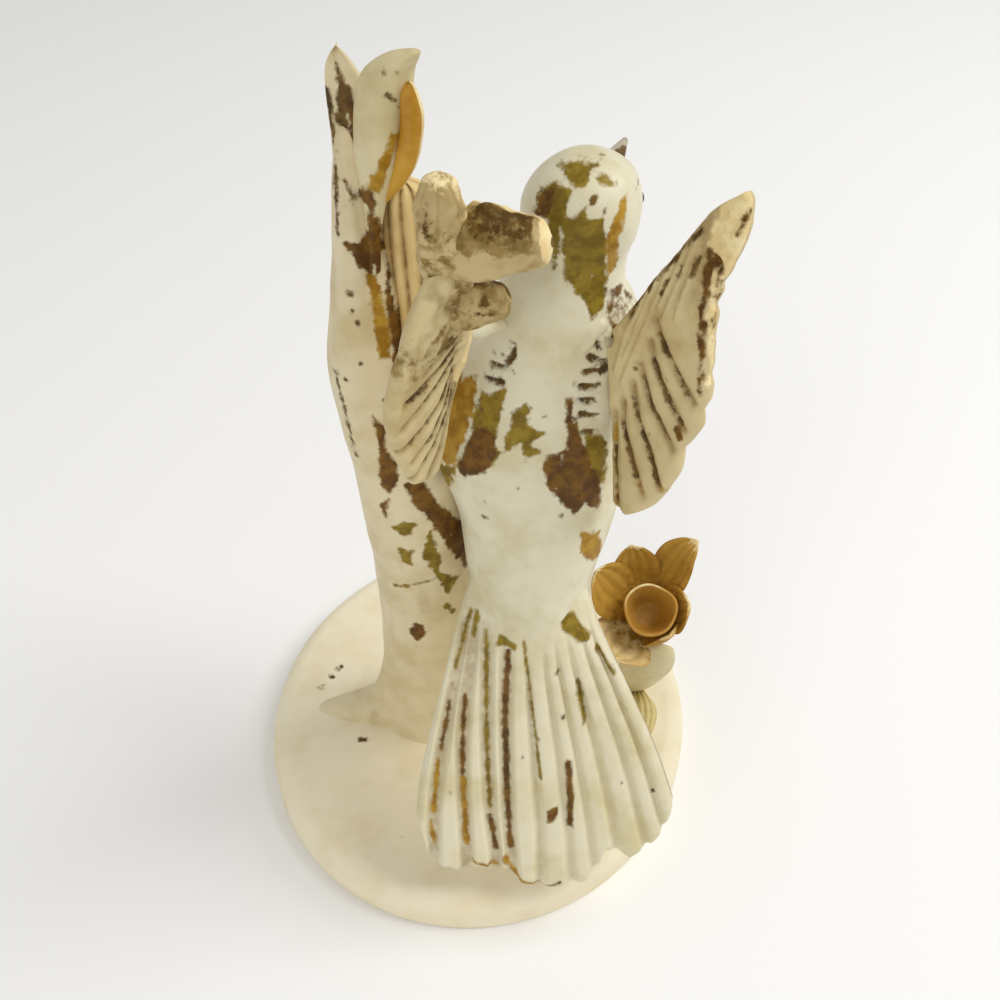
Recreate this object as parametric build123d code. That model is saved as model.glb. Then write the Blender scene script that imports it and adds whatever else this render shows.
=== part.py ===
from build123d import *
import os
from math import cos, pi, radians, sin, sqrt

# A moulded figure in millimetres: a bird with raised wings on a stump, one flower and an oval foot.
# +Z is up, the origin is the middle of the foot's underside, and the bird's back faces -Y.

# Oval foot, with a domed top, a rounded edge and a flat underside
BASE_WIDTH = 83.0
BASE_LENGTH = 89.0
BASE_TURN = 74.0
BASE_HEIGHT = 9.5
BASE_CROWN = 1.4
BASE_EDGE_ROUND = 4.0

# Stump, its tenon in the foot and the root spur at its left
TRUNK_X = -8.8
TRUNK_Y = -2.0
TRUNK_HEIGHT = 112.0
TRUNK_LEAN = 6.3
TRUNK_FOOT_WIDTH = 19.5
TRUNK_LOW_WIDTH = 16.6
TRUNK_PERCH_WIDTH = 17.0
TRUNK_NECK_WIDTH = 11.6
TRUNK_COLLAR_WIDTH = 10.0
TRUNK_TOP_WIDTH = 9.0
TRUNK_FLATNESS = 0.92
TRUNK_SINK = 2.5
TENON_DIAMETER = 9.0
TENON_LENGTH = 5.0
SOCKET_CLEARANCE = 0.1
SPUR_LENGTH = 19.5
SPUR_WIDTH = 13.0
SPUR_HEIGHT = 5.0

# Leaves and bark spike round the stump's top
FRONT_LEAF_LENGTH = 30.0
FRONT_LEAF_WIDTH = 7.4
FRONT_LEAF_THICKNESS = 2.4
FRONT_LEAF_LEAN = 15.0
FRONT_LEAF_BOW = 1.2
FRONT_LEAF_SEAT = 6.0
INNER_LEAF_LENGTH = 21.0
INNER_LEAF_WIDTH = 7.0
INNER_LEAF_THICKNESS = 2.2
INNER_LEAF_LEAN = 10.0
INNER_LEAF_BOW = 1.6
INNER_LEAF_SEAT = 4.0
SPIKE_LENGTH = 27.0
SPIKE_WIDTH = 5.4
SPIKE_THICKNESS = 3.2
SPIKE_SEAT = 5.0
RIBBED_LEAF_LENGTH = 43.0
RIBBED_LEAF_WIDTH = 7.0
RIBBED_LEAF_THICKNESS = 4.4
RIBBED_LEAF_OVERLAP = 2.0
RIBBED_LEAF_RISE = 4.5

# Bird's body: a leaning egg from the vent to the neck, luted to the stump by its flank
BODY_LIFT = 36.5
BODY_LENGTH = 70.0
BODY_WIDTH = 30.5
BODY_DEPTH = 24.5
BODY_BACK = 14.4
BODY_RAKE = 14.3
BODY_TILT = 5.2
NECK_WIDTH = 10.5
VENT_WIDTH = 9.0
BODY_AXIS_OFFSET = 12.1
BODY_LEAN = 2.26

# Head, neck peg, beak and eyes
HEAD_DIAMETER = 15.4
HEAD_RISE = 4.6
HEAD_BEARING = 66.0
HEAD_PITCH = 12.0
NECK_PEG_DIAMETER = 3.0
NECK_PEG_LENGTH = 13.0
BEAK_LENGTH = 6.2
BEAK_WIDTH = 3.6
BEAK_POINT = 0.5
BEAK_SEAT = 2.0
EYE_DIAMETER = 2.4
EYE_FORWARD = 3.2
EYE_OUT = 6.3
EYE_RISE = -6.0

# Wings: ribbed fans about the shoulders, on iron wires
WING_THICKNESS = 2.6
WING_RIB_DEPTH = 0.45
WING_SCALLOP = 0.7
WING_INNER_RADIUS = 1.5
RIGHT_SHOULDER_BEARING = -48.0
RIGHT_WING_BEARING = 219.9
RIGHT_WING_RISE = 7.5
RIGHT_WING_FEATHERS = 9
RIGHT_WING_LOW_ANGLE = -74.0
RIGHT_WING_MID_ANGLE = 10.0
RIGHT_WING_TIP_ANGLE = 59.0
RIGHT_WING_LOW_RADIUS = 27.5
RIGHT_WING_MID_RADIUS = 19.2
RIGHT_WING_TIP_RADIUS = 33.0
LEFT_SHOULDER_BEARING = -150.0
LEFT_WING_BEARING = -37.0
LEFT_WING_RISE = -6.9
LEFT_WING_FEATHERS = 7
LEFT_WRIST_RADIUS = 11.5
LEFT_WRIST_ANGLE = 28.0
LEFT_ARM_WIDTH = 5.0
LEFT_ARM_THICKNESS = 4.0
LEFT_ARM_SEAT = 3.0
LEFT_WING_LOW_ANGLE = -78.0
LEFT_WING_MID_ANGLE = 8.0
LEFT_WING_TIP_ANGLE = 60.0
LEFT_WING_LOW_RADIUS = 24.3
LEFT_WING_MID_RADIUS = 14.4
LEFT_WING_TIP_RADIUS = 15.0
WIRE_DIAMETER = 1.2
WIRE_IN_BODY = 7.0
WIRE_IN_WING = 15.0
RIGHT_WIRE_ANGLE = 35.0

# Three thick plumes at the left wing's upper end, the middle one on a wire
TOP_PLUME_ROOT_RADIUS = 20.0
TOP_PLUME_ROOT_ANGLE = 43.0
TOP_PLUME_BEARING = -76.0
TOP_PLUME_RISE = 82.0
TOP_PLUME_LENGTH = 17.5
TOP_PLUME_WIDTH = 7.6
TOP_PLUME_THICKNESS = 5.0
MID_PLUME_ROOT_RADIUS = 25.0
MID_PLUME_ROOT_ANGLE = 54.0
MID_PLUME_BEARING = -12.0
MID_PLUME_RISE = 12.0
MID_PLUME_LENGTH = 12.4
MID_PLUME_WIDTH = 8.6
MID_PLUME_THICKNESS = 5.6
LOW_PLUME_ROOT_RADIUS = 18.0
LOW_PLUME_ROOT_ANGLE = 38.0
LOW_PLUME_BEARING = -11.0
LOW_PLUME_RISE = 18.0
LOW_PLUME_LENGTH = 8.2
LOW_PLUME_WIDTH = 5.8
LOW_PLUME_THICKNESS = 4.8
PLUME_WIRE_DIAMETER = 1.2
PLUME_WIRE_LENGTH = 10.0

# Fan tail with a tongue in the body
TAIL_FEATHERS = 10
TAIL_FOLD_RADIUS = 30.0
TAIL_INNER_RADIUS = 25.0
TAIL_MID_RADIUS = 82.0
TAIL_SIDE_RADIUS = 69.5
TAIL_SPREAD = 18.6
TAIL_SLOPE = 62.7
TAIL_BEARING = -86.3
TAIL_THICKNESS = 3.2
TAIL_RIB_DEPTH = 0.55
TAIL_SCALLOP = 1.2
TAIL_INSET = 1.0
TONGUE_LENGTH = 8.0
TONGUE_WIDTH = 9.0
TONGUE_THICKNESS = 1.6
TONGUE_HOLD = 3.0

# Flower beside the stump: stem, calyx, cup, six petals and two leaves
FLOWER_X = 33.0
FLOWER_Y = 2.5
FLOWER_LIFT = 23.0
FLOWER_TILT = 30.0
STEM_DIAMETER = 3.4
STEM_SINK = 2.0
STEM_OVERLAP = 1.0
CALYX_HEIGHT = 6.0
CALYX_DIAMETER = 7.0
CUP_DIAMETER = 9.5
CUP_HEIGHT = 7.5
CUP_WALL = 1.1
CUP_FLOOR = 1.2
PETAL_WIDTH = 8.4
PETAL_THICKNESS = 1.3
PETAL_BOW = 1.2
PETAL_START = 2.2
TALL_PETAL_LENGTH = 17.0
BACK_PETAL_LENGTH = 15.0
SIDE_PETAL_LENGTH = 12.5
SHORT_PETAL_LENGTH = 9.0
CRADLE_LENGTH = 22.0
CRADLE_WIDTH = 9.0
CRADLE_THICKNESS = 2.0
CRADLE_BOW = 3.0
CRADLE_LEAN = 25.0
CRADLE_BEARING = -60.0
LOW_LEAF_LENGTH = 13.0
LOW_LEAF_WIDTH = 7.5
LOW_LEAF_THICKNESS = 3.2

X_AXIS = Vector(1, 0, 0)
Y_AXIS = Vector(0, 1, 0)
Z_AXIS = Vector(0, 0, 1)

# Shares of a blade's length and of its width
LEAF_PROFILE = [(0.0, 0.45), (0.35, 1.0), (0.72, 0.75), (1.0, 0.14)]
PLUME_PROFILE = [(0.0, 0.7), (0.4, 1.0), (0.8, 0.95), (0.95, 0.7), (1.0, 0.42)]
TOP_PLUME_PROFILE = [(0.0, 0.75), (0.4, 1.0), (0.75, 0.85), (0.92, 0.58), (1.0, 0.3)]
ARM_PROFILE = [(0.0, 1.0), (0.5, 0.92), (1.0, 0.8)]
PETAL_PROFILE = [(0.0, 0.4), (0.4, 0.95), (0.7, 0.9), (1.0, 0.16)]
SPUR_PROFILE = [(0.0, 1.0), (0.5, 0.72), (0.85, 0.36), (1.0, 0.12)]

# Each petal's turn about the flower's axis, its rise above the cup's floor and its length
PETALS = {"right": (47.0, 56.0, TALL_PETAL_LENGTH), "back": (103.0, 43.0, BACK_PETAL_LENGTH),
          "left": (155.0, 50.0, SIDE_PETAL_LENGTH), "low left": (213.0, 44.0, SIDE_PETAL_LENGTH),
          "low": (280.0, 66.0, SHORT_PETAL_LENGTH), "low right": (343.0, 60.0, SIDE_PETAL_LENGTH)}

# Shares of the stump's height, its width there and its share of the lean
TRUNK_LEVELS = {"foot": (0.0, TRUNK_FOOT_WIDTH, 0.0), "low": (0.08, TRUNK_LOW_WIDTH, 0.0),
                "straight": (0.28, TRUNK_LOW_WIDTH, 0.0), "perch": (0.56, TRUNK_PERCH_WIDTH, 0.2),
                "neck": (0.79, TRUNK_NECK_WIDTH, 1.0), "collar": (0.9, TRUNK_COLLAR_WIDTH, 0.9),
                "top": (1.0, TRUNK_TOP_WIDTH, 0.85)}

# Shares of the body's length, of its width, of its depth and of its lean towards the stump
BODY_LEVELS = {"rump": (0.09, 0.577, 0.54, 0.3), "fold": (0.2, 0.675, 0.8, 0.55),
               "waist": (0.36, 0.836, 0.98, 0.28), "breast": (0.53, 1.0, 1.0, 1.0),
               "back": (0.69, 0.859, 0.92, 0.5), "shoulder": (0.83, 0.619, 0.735, 0.0)}


def direction(bearing, rise):
    """Unit vector at a bearing in plan, anticlockwise from +X, and a rise above level, in degrees."""
    level = cos(radians(rise))
    return Vector(level * cos(radians(bearing)), level * sin(radians(bearing)), sin(radians(rise)))


def oval_loft(stations, across):
    """Smooth solid through ovals; each station is its centre, its direction, its width and its depth."""
    faces = []
    for centre, along, width, depth in stations:
        plane = Plane(origin=centre, x_dir=across, z_dir=along)
        faces.append(plane * Ellipse(width / 2, depth / 2))
    return loft(faces)


def blade(root, run, across, width, thickness, bow, profile):
    """Leaf, petal or plume along run, bowed by a vector at its middle, oval across."""
    stations = []
    for share, fullness in profile:
        centre = root + run * share + bow * sin(pi * share)
        along = run + bow * (pi * cos(pi * share))
        stations.append((centre, along, width * fullness, thickness * sqrt(fullness)))
    return oval_loft(stations, across)


def fan_plate(frame, low, high, feathers, inner, radius, thickness, rib, scallop):
    """Fan ribbed on its face: a section on each crest and in each groove, turned about the pivot."""
    pivot, out, up, face = frame
    steps = 2 * feathers
    faces = []
    for step in range(steps + 1):
        angle = low + (high - low) * step / steps
        spoke = out * cos(radians(angle)) + up * sin(radians(angle))
        on_crest = step % 2 == 1
        reach = radius(angle) if on_crest else radius(angle) - scallop
        front = thickness / 2 + (rib if on_crest else -rib)
        back = -thickness / 2
        edge = reach - thickness / 2
        plane = Plane(origin=pivot, x_dir=spoke, z_dir=spoke.cross(face))
        roof = Line((inner, thickness / 2), (edge, front))
        rim = ThreePointArc((edge, front), (reach, (front + back) / 2), (edge, back))
        sole = Line((edge, back), (inner, back))
        heel = Line((inner, back), (inner, thickness / 2))
        faces.append(plane * make_face([roof, rim, sole, heel]))
    return loft(faces, ruled=True)


def bar(start, end, diameter):
    """Round bar between two points."""
    plane = Plane(origin=start, z_dir=end - start)
    return extrude(plane * Circle(diameter / 2), (end - start).length)


def trim(piece, *others):
    """The piece with the room of the others cut away; its main solid is kept."""
    for other in others:
        piece = max((piece - other).solids(), key=lambda solid: solid.volume)
    return piece


# Oval foot

def base_top(x, y):
    """Height of the foot's dome over a point in plan."""
    return BASE_HEIGHT - BASE_CROWN * (x * x + y * y) / (BASE_WIDTH / 2) ** 2


def make_base_block():
    """Foot without its sockets."""
    plan = Rot(0, 0, BASE_TURN) * Ellipse(BASE_LENGTH / 2, BASE_WIDTH / 2)
    dome_radius = ((BASE_WIDTH / 2) ** 2 + BASE_CROWN ** 2) / (2 * BASE_CROWN)
    dome = Pos(0, 0, BASE_HEIGHT - dome_radius) * Rot(0, 90, 0) * Sphere(dome_radius)
    block = extrude(plan, BASE_HEIGHT) & dome
    top_edge = block.faces().sort_by(Axis.Z)[-1].edges()
    return fillet(top_edge, BASE_EDGE_ROUND)


# Stump

def trunk_point(level):
    """Middle of the stump at one of its named levels."""
    share, width, lean = TRUNK_LEVELS[level]
    low = base_top(TRUNK_X, TRUNK_Y) - TRUNK_SINK
    return Vector(TRUNK_X - TRUNK_LEAN * lean, TRUNK_Y, low + TRUNK_HEIGHT * share)


def make_trunk_form():
    """Stump and root spur, still running into the foot."""
    stations = []
    for level, (share, width, lean) in TRUNK_LEVELS.items():
        stations.append((trunk_point(level), Z_AXIS, width, width * TRUNK_FLATNESS))
    start = trunk_point("foot") - X_AXIS * (TRUNK_FOOT_WIDTH / 4)
    spur = []
    for share, fullness in SPUR_PROFILE:
        x = start.X - SPUR_LENGTH * share
        centre = Vector(x, start.Y, base_top(x, start.Y))
        spur.append((centre, -X_AXIS, SPUR_WIDTH * fullness, 2 * SPUR_HEIGHT * fullness))
    return oval_loft(stations, X_AXIS) + oval_loft(spur, Y_AXIS)


def tenon(clearance):
    """Stump's tenon, or with a clearance the room for it in the foot."""
    top = Vector(TRUNK_X, TRUNK_Y, base_top(TRUNK_X, TRUNK_Y))
    return bar(top - Z_AXIS * (TENON_LENGTH + clearance), top + Z_AXIS, TENON_DIAMETER + 2 * clearance)


# Leaves and spike at the stump's top

def make_front_leaf():
    root = trunk_point("top") - Y_AXIS * (TRUNK_TOP_WIDTH * TRUNK_FLATNESS / 2 - FRONT_LEAF_THICKNESS / 2)
    root = root - Z_AXIS * FRONT_LEAF_SEAT
    run = direction(0, 90 - FRONT_LEAF_LEAN) * FRONT_LEAF_LENGTH
    bow = X_AXIS * -FRONT_LEAF_BOW
    return blade(root, run, X_AXIS, FRONT_LEAF_WIDTH, FRONT_LEAF_THICKNESS, bow, LEAF_PROFILE)


def make_inner_leaf():
    root = trunk_point("top") + X_AXIS * (TRUNK_TOP_WIDTH / 4) - Z_AXIS * INNER_LEAF_SEAT
    run = direction(0, 90 - INNER_LEAF_LEAN) * INNER_LEAF_LENGTH
    bow = X_AXIS * INNER_LEAF_BOW
    return blade(root, run, X_AXIS, INNER_LEAF_WIDTH, INNER_LEAF_THICKNESS, bow, LEAF_PROFILE)


def make_spike():
    root = trunk_point("top") - X_AXIS * (TRUNK_TOP_WIDTH / 4) - Z_AXIS * SPIKE_SEAT
    root = root + Y_AXIS * (TRUNK_TOP_WIDTH * TRUNK_FLATNESS / 4)
    run = Z_AXIS * SPIKE_LENGTH
    return blade(root, run, X_AXIS, SPIKE_WIDTH, SPIKE_THICKNESS, Vector(0, 0, 0), LEAF_PROFILE)


def make_ribbed_leaf():
    tip = trunk_point("top") + Z_AXIS * RIBBED_LEAF_RISE
    tip = tip + X_AXIS * (TRUNK_TOP_WIDTH / 2 + RIBBED_LEAF_WIDTH / 2 - RIBBED_LEAF_OVERLAP)
    run = Z_AXIS * RIBBED_LEAF_LENGTH
    straight = Vector(0, 0, 0)
    return blade(tip - run, run, X_AXIS, RIBBED_LEAF_WIDTH, RIBBED_LEAF_THICKNESS, straight, PLUME_PROFILE)


# Bird's body

def body_point(share):
    """Point on the body's axis: it leans forward quickly at first and to the right near the neck."""
    perch_edge = trunk_point("perch").X + TRUNK_PERCH_WIDTH / 2
    x = perch_edge + BODY_AXIS_OFFSET + BODY_TILT * share ** 3
    y = -BODY_BACK + BODY_RAKE * (1 - (1 - share) ** 2)
    return Vector(x, y, BASE_HEIGHT + BODY_LIFT + BODY_LENGTH * share)


def body_skin(level, bearing):
    """Point at a bearing from +X on the body's surface at one of its named levels, without its lean."""
    share, width_share, depth_share, lean_share = BODY_LEVELS[level]
    reach_x = BODY_WIDTH * width_share / 2 * cos(radians(bearing))
    reach_y = BODY_DEPTH * depth_share / 2 * sin(radians(bearing))
    return body_point(share) + Vector(reach_x, reach_y, 0)


def make_body_form():
    stations = [(body_point(0), Z_AXIS, VENT_WIDTH, VENT_WIDTH / 2)]
    for share, width_share, depth_share, lean_share in BODY_LEVELS.values():
        centre = body_point(share) - X_AXIS * (BODY_LEAN * lean_share)
        stations.append((centre, Z_AXIS, BODY_WIDTH * width_share, BODY_DEPTH * depth_share))
    stations.append((body_point(1), Z_AXIS, NECK_WIDTH, NECK_WIDTH))
    return oval_loft(stations, X_AXIS)


# Head, beak and eyes

def head_centre():
    return body_point(1) + Z_AXIS * HEAD_RISE


def head_axis():
    return direction(HEAD_BEARING, HEAD_PITCH)


def head_up():
    return direction(HEAD_BEARING, HEAD_PITCH + 90)


def make_head_form():
    """Ball with its poles and its seam turned clear of the neck, the beak and the eyes."""
    pole = direction(HEAD_BEARING - 35, -25)
    plane = Plane(origin=head_centre(), x_dir=head_up() - head_axis(), z_dir=pole)
    return plane * Sphere(HEAD_DIAMETER / 2)


def neck_peg(clearance):
    """Peg under the head, or with a clearance the room for it in the body."""
    end = head_centre() - Z_AXIS * (NECK_PEG_LENGTH + clearance)
    return bar(end, head_centre(), NECK_PEG_DIAMETER + 2 * clearance)


def make_beak(keep):
    root = head_centre() + head_axis() * (HEAD_DIAMETER / 2 - BEAK_SEAT)
    plane = Plane(origin=root, z_dir=head_axis())
    length = BEAK_SEAT + BEAK_LENGTH
    on_root = (Align.CENTER, Align.CENTER, Align.MIN)
    cone = plane * Cone(BEAK_WIDTH / 2, BEAK_POINT / 2, length, align=on_root)
    return split(cone, bisect_by=Plane(origin=root, z_dir=head_up()), keep=keep)


def make_eye(side):
    """Ball with its seam inside the head; side is 1 for the left eye and -1 for the right."""
    outward = direction(HEAD_BEARING + 90 * side, EYE_RISE)
    centre = head_centre() + head_axis() * EYE_FORWARD + outward * EYE_OUT
    plane = Plane(origin=centre, x_dir=-outward, z_dir=outward.cross(head_axis()))
    return plane * Sphere(EYE_DIAMETER / 2)


# Wings

def bent_radius(angle, low, mid, high, low_radius, mid_radius, high_radius):
    """Radius of a wing's edge: least at its middle angle, longer to each end."""
    if angle < mid:
        return mid_radius + (low_radius - mid_radius) * ((mid - angle) / (mid - low)) ** 2
    return mid_radius + (high_radius - mid_radius) * ((angle - mid) / (high - mid)) ** 3


def right_wing_frame():
    """Shoulder of the right wing, and its outward, upward and facing directions."""
    face = direction(RIGHT_WING_BEARING, RIGHT_WING_RISE)
    out = direction(RIGHT_WING_BEARING + 90, 0)
    return body_skin("shoulder", RIGHT_SHOULDER_BEARING), out, face.cross(out), face


def left_wing_frame():
    """Shoulder of the left wing, and its outward, upward and facing directions."""
    face = direction(LEFT_WING_BEARING, LEFT_WING_RISE)
    out = direction(LEFT_WING_BEARING - 90, 0)
    return body_skin("shoulder", LEFT_SHOULDER_BEARING), out, out.cross(face), face


def on_wing(frame, radius, angle):
    """Point of a wing's plane at a radius and an angle above level."""
    pivot, out, up, face = frame
    return pivot + (out * cos(radians(angle)) + up * sin(radians(angle))) * radius


def left_fan_frame():
    """Wrist that the left wing fans out from, and the wing's directions."""
    shoulder, out, up, face = left_wing_frame()
    return on_wing(left_wing_frame(), LEFT_WRIST_RADIUS, LEFT_WRIST_ANGLE), out, up, face


def make_left_arm():
    """Short arm from inside the left shoulder to just past the wrist."""
    shoulder, out, up, face = left_wing_frame()
    root = on_wing(left_wing_frame(), -LEFT_ARM_SEAT, LEFT_WRIST_ANGLE)
    end = on_wing(left_wing_frame(), LEFT_WRIST_RADIUS + LEFT_ARM_SEAT, LEFT_WRIST_ANGLE)
    return blade(root, end - root, face, LEFT_ARM_THICKNESS, LEFT_ARM_WIDTH, Vector(0, 0, 0), ARM_PROFILE)


def right_wing_radius(angle):
    return bent_radius(angle, RIGHT_WING_LOW_ANGLE, RIGHT_WING_MID_ANGLE, RIGHT_WING_TIP_ANGLE,
                       RIGHT_WING_LOW_RADIUS, RIGHT_WING_MID_RADIUS, RIGHT_WING_TIP_RADIUS)


def left_wing_radius(angle):
    return bent_radius(angle, LEFT_WING_LOW_ANGLE, LEFT_WING_MID_ANGLE, LEFT_WING_TIP_ANGLE,
                       LEFT_WING_LOW_RADIUS, LEFT_WING_MID_RADIUS, LEFT_WING_TIP_RADIUS)


def make_wing(frame, low, high, feathers, radius):
    return fan_plate(frame, low, high, feathers, WING_INNER_RADIUS, radius,
                     WING_THICKNESS, WING_RIB_DEPTH, WING_SCALLOP)


def wing_wire(frame, angle):
    return bar(on_wing(frame, -WIRE_IN_BODY, angle), on_wing(frame, WIRE_IN_WING, angle), WIRE_DIAMETER)


# Plumes of the left wing

def make_top_plume():
    root = on_wing(left_wing_frame(), TOP_PLUME_ROOT_RADIUS, TOP_PLUME_ROOT_ANGLE)
    run = direction(TOP_PLUME_BEARING, TOP_PLUME_RISE) * TOP_PLUME_LENGTH
    return blade(root, run, X_AXIS, TOP_PLUME_WIDTH, TOP_PLUME_THICKNESS, Vector(0, 0, 0), TOP_PLUME_PROFILE)


def mid_plume_line():
    """Root and run of the middle plume."""
    root = on_wing(left_wing_frame(), MID_PLUME_ROOT_RADIUS, MID_PLUME_ROOT_ANGLE)
    return root, direction(MID_PLUME_BEARING, MID_PLUME_RISE) * MID_PLUME_LENGTH


def make_mid_plume():
    root, run = mid_plume_line()
    return blade(root, run, Z_AXIS, MID_PLUME_WIDTH, MID_PLUME_THICKNESS, Vector(0, 0, 0), PLUME_PROFILE)


def make_low_plume():
    root = on_wing(left_wing_frame(), LOW_PLUME_ROOT_RADIUS, LOW_PLUME_ROOT_ANGLE)
    run = direction(LOW_PLUME_BEARING, LOW_PLUME_RISE) * LOW_PLUME_LENGTH
    return blade(root, run, Z_AXIS, LOW_PLUME_WIDTH, LOW_PLUME_THICKNESS, Vector(0, 0, 0), PLUME_PROFILE)


def plume_wire():
    root, run = mid_plume_line()
    return bar(root + run - run.normalized() * PLUME_WIRE_LENGTH, root + run, PLUME_WIRE_DIAMETER)


# Tail

def tail_frame():
    """Point that the tail fans out from, and its downward, sideways and facing directions."""
    down = direction(TAIL_BEARING, -TAIL_SLOPE)
    face = direction(TAIL_BEARING, 90 - TAIL_SLOPE)
    fold = body_skin("fold", -90) + Y_AXIS * TAIL_INSET
    return fold - down * TAIL_FOLD_RADIUS, down, face.cross(down), face


def tail_radius(angle):
    return TAIL_MID_RADIUS - (TAIL_MID_RADIUS - TAIL_SIDE_RADIUS) * (angle / TAIL_SPREAD) ** 4


def make_tail_form():
    return fan_plate(tail_frame(), -TAIL_SPREAD, TAIL_SPREAD, TAIL_FEATHERS, TAIL_INNER_RADIUS,
                     tail_radius, TAIL_THICKNESS, TAIL_RIB_DEPTH, TAIL_SCALLOP)


def make_tongue():
    """Flat tongue from the tail into the body."""
    pivot, down, side, face = tail_frame()
    root = pivot + down * (TAIL_FOLD_RADIUS - TONGUE_LENGTH)
    plane = Plane(origin=root, x_dir=side, z_dir=down)
    return extrude(plane * Rectangle(TONGUE_WIDTH, TONGUE_THICKNESS), TONGUE_LENGTH + TONGUE_HOLD)


# Flower

def flower_axis():
    return direction(-90, 90 - FLOWER_TILT)


def flower_point(height):
    """Point on the flower's axis, from the floor of its cup."""
    floor = Vector(FLOWER_X, FLOWER_Y, base_top(FLOWER_X, FLOWER_Y) + FLOWER_LIFT)
    return floor + flower_axis() * height


def turned(points):
    """Solid of revolution about the flower's axis from radius and height points."""
    face = make_face(Polyline(*points, close=True))
    plane = Plane(origin=flower_point(0), x_dir=X_AXIS, z_dir=flower_axis())
    return plane * revolve(Rot(90, 0, 0) * face, Axis.Z)


def make_calyx():
    return turned([(0, -CALYX_HEIGHT), (STEM_DIAMETER / 2, -CALYX_HEIGHT), (CALYX_DIAMETER / 2, 0), (0, 0)])


def make_cup():
    outer = CUP_DIAMETER / 2
    foot = CALYX_DIAMETER / 2
    return turned([(0, 0), (foot, 0), (outer, CUP_HEIGHT), (outer - CUP_WALL, CUP_HEIGHT),
                   (foot - CUP_WALL, CUP_FLOOR), (0, CUP_FLOOR)])


def make_petal(turn, rise, length):
    axis = flower_axis()
    spoke = X_AXIS * cos(radians(turn)) + axis.cross(X_AXIS) * sin(radians(turn))
    tangent = axis.cross(spoke)
    root = flower_point(-PETAL_THICKNESS) + spoke * PETAL_START
    run = (spoke * cos(radians(rise)) + axis * sin(radians(rise))) * length
    bow = (spoke * sin(radians(rise)) - axis * cos(radians(rise))) * PETAL_BOW
    return blade(root, run, tangent, PETAL_WIDTH, PETAL_THICKNESS, bow, PETAL_PROFILE)


def stem_foot():
    top = flower_point(-CALYX_HEIGHT)
    return Vector(top.X, top.Y, base_top(top.X, top.Y))


def make_stem():
    top = flower_point(-CALYX_HEIGHT)
    return bar(stem_foot() - Z_AXIS * STEM_SINK, top + Z_AXIS * STEM_OVERLAP, STEM_DIAMETER)


def make_cradle():
    root = stem_foot() - Y_AXIS * STEM_DIAMETER
    run = direction(CRADLE_BEARING, 90 - CRADLE_LEAN) * CRADLE_LENGTH
    return blade(root, run, X_AXIS, CRADLE_WIDTH, CRADLE_THICKNESS, Y_AXIS * -CRADLE_BOW, LEAF_PROFILE)


def make_low_leaf():
    root = stem_foot() - Y_AXIS * STEM_DIAMETER
    return blade(root, Y_AXIS * -LOW_LEAF_LENGTH, X_AXIS, LOW_LEAF_WIDTH, LOW_LEAF_THICKNESS,
                 Vector(0, 0, 0), LEAF_PROFILE)


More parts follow.
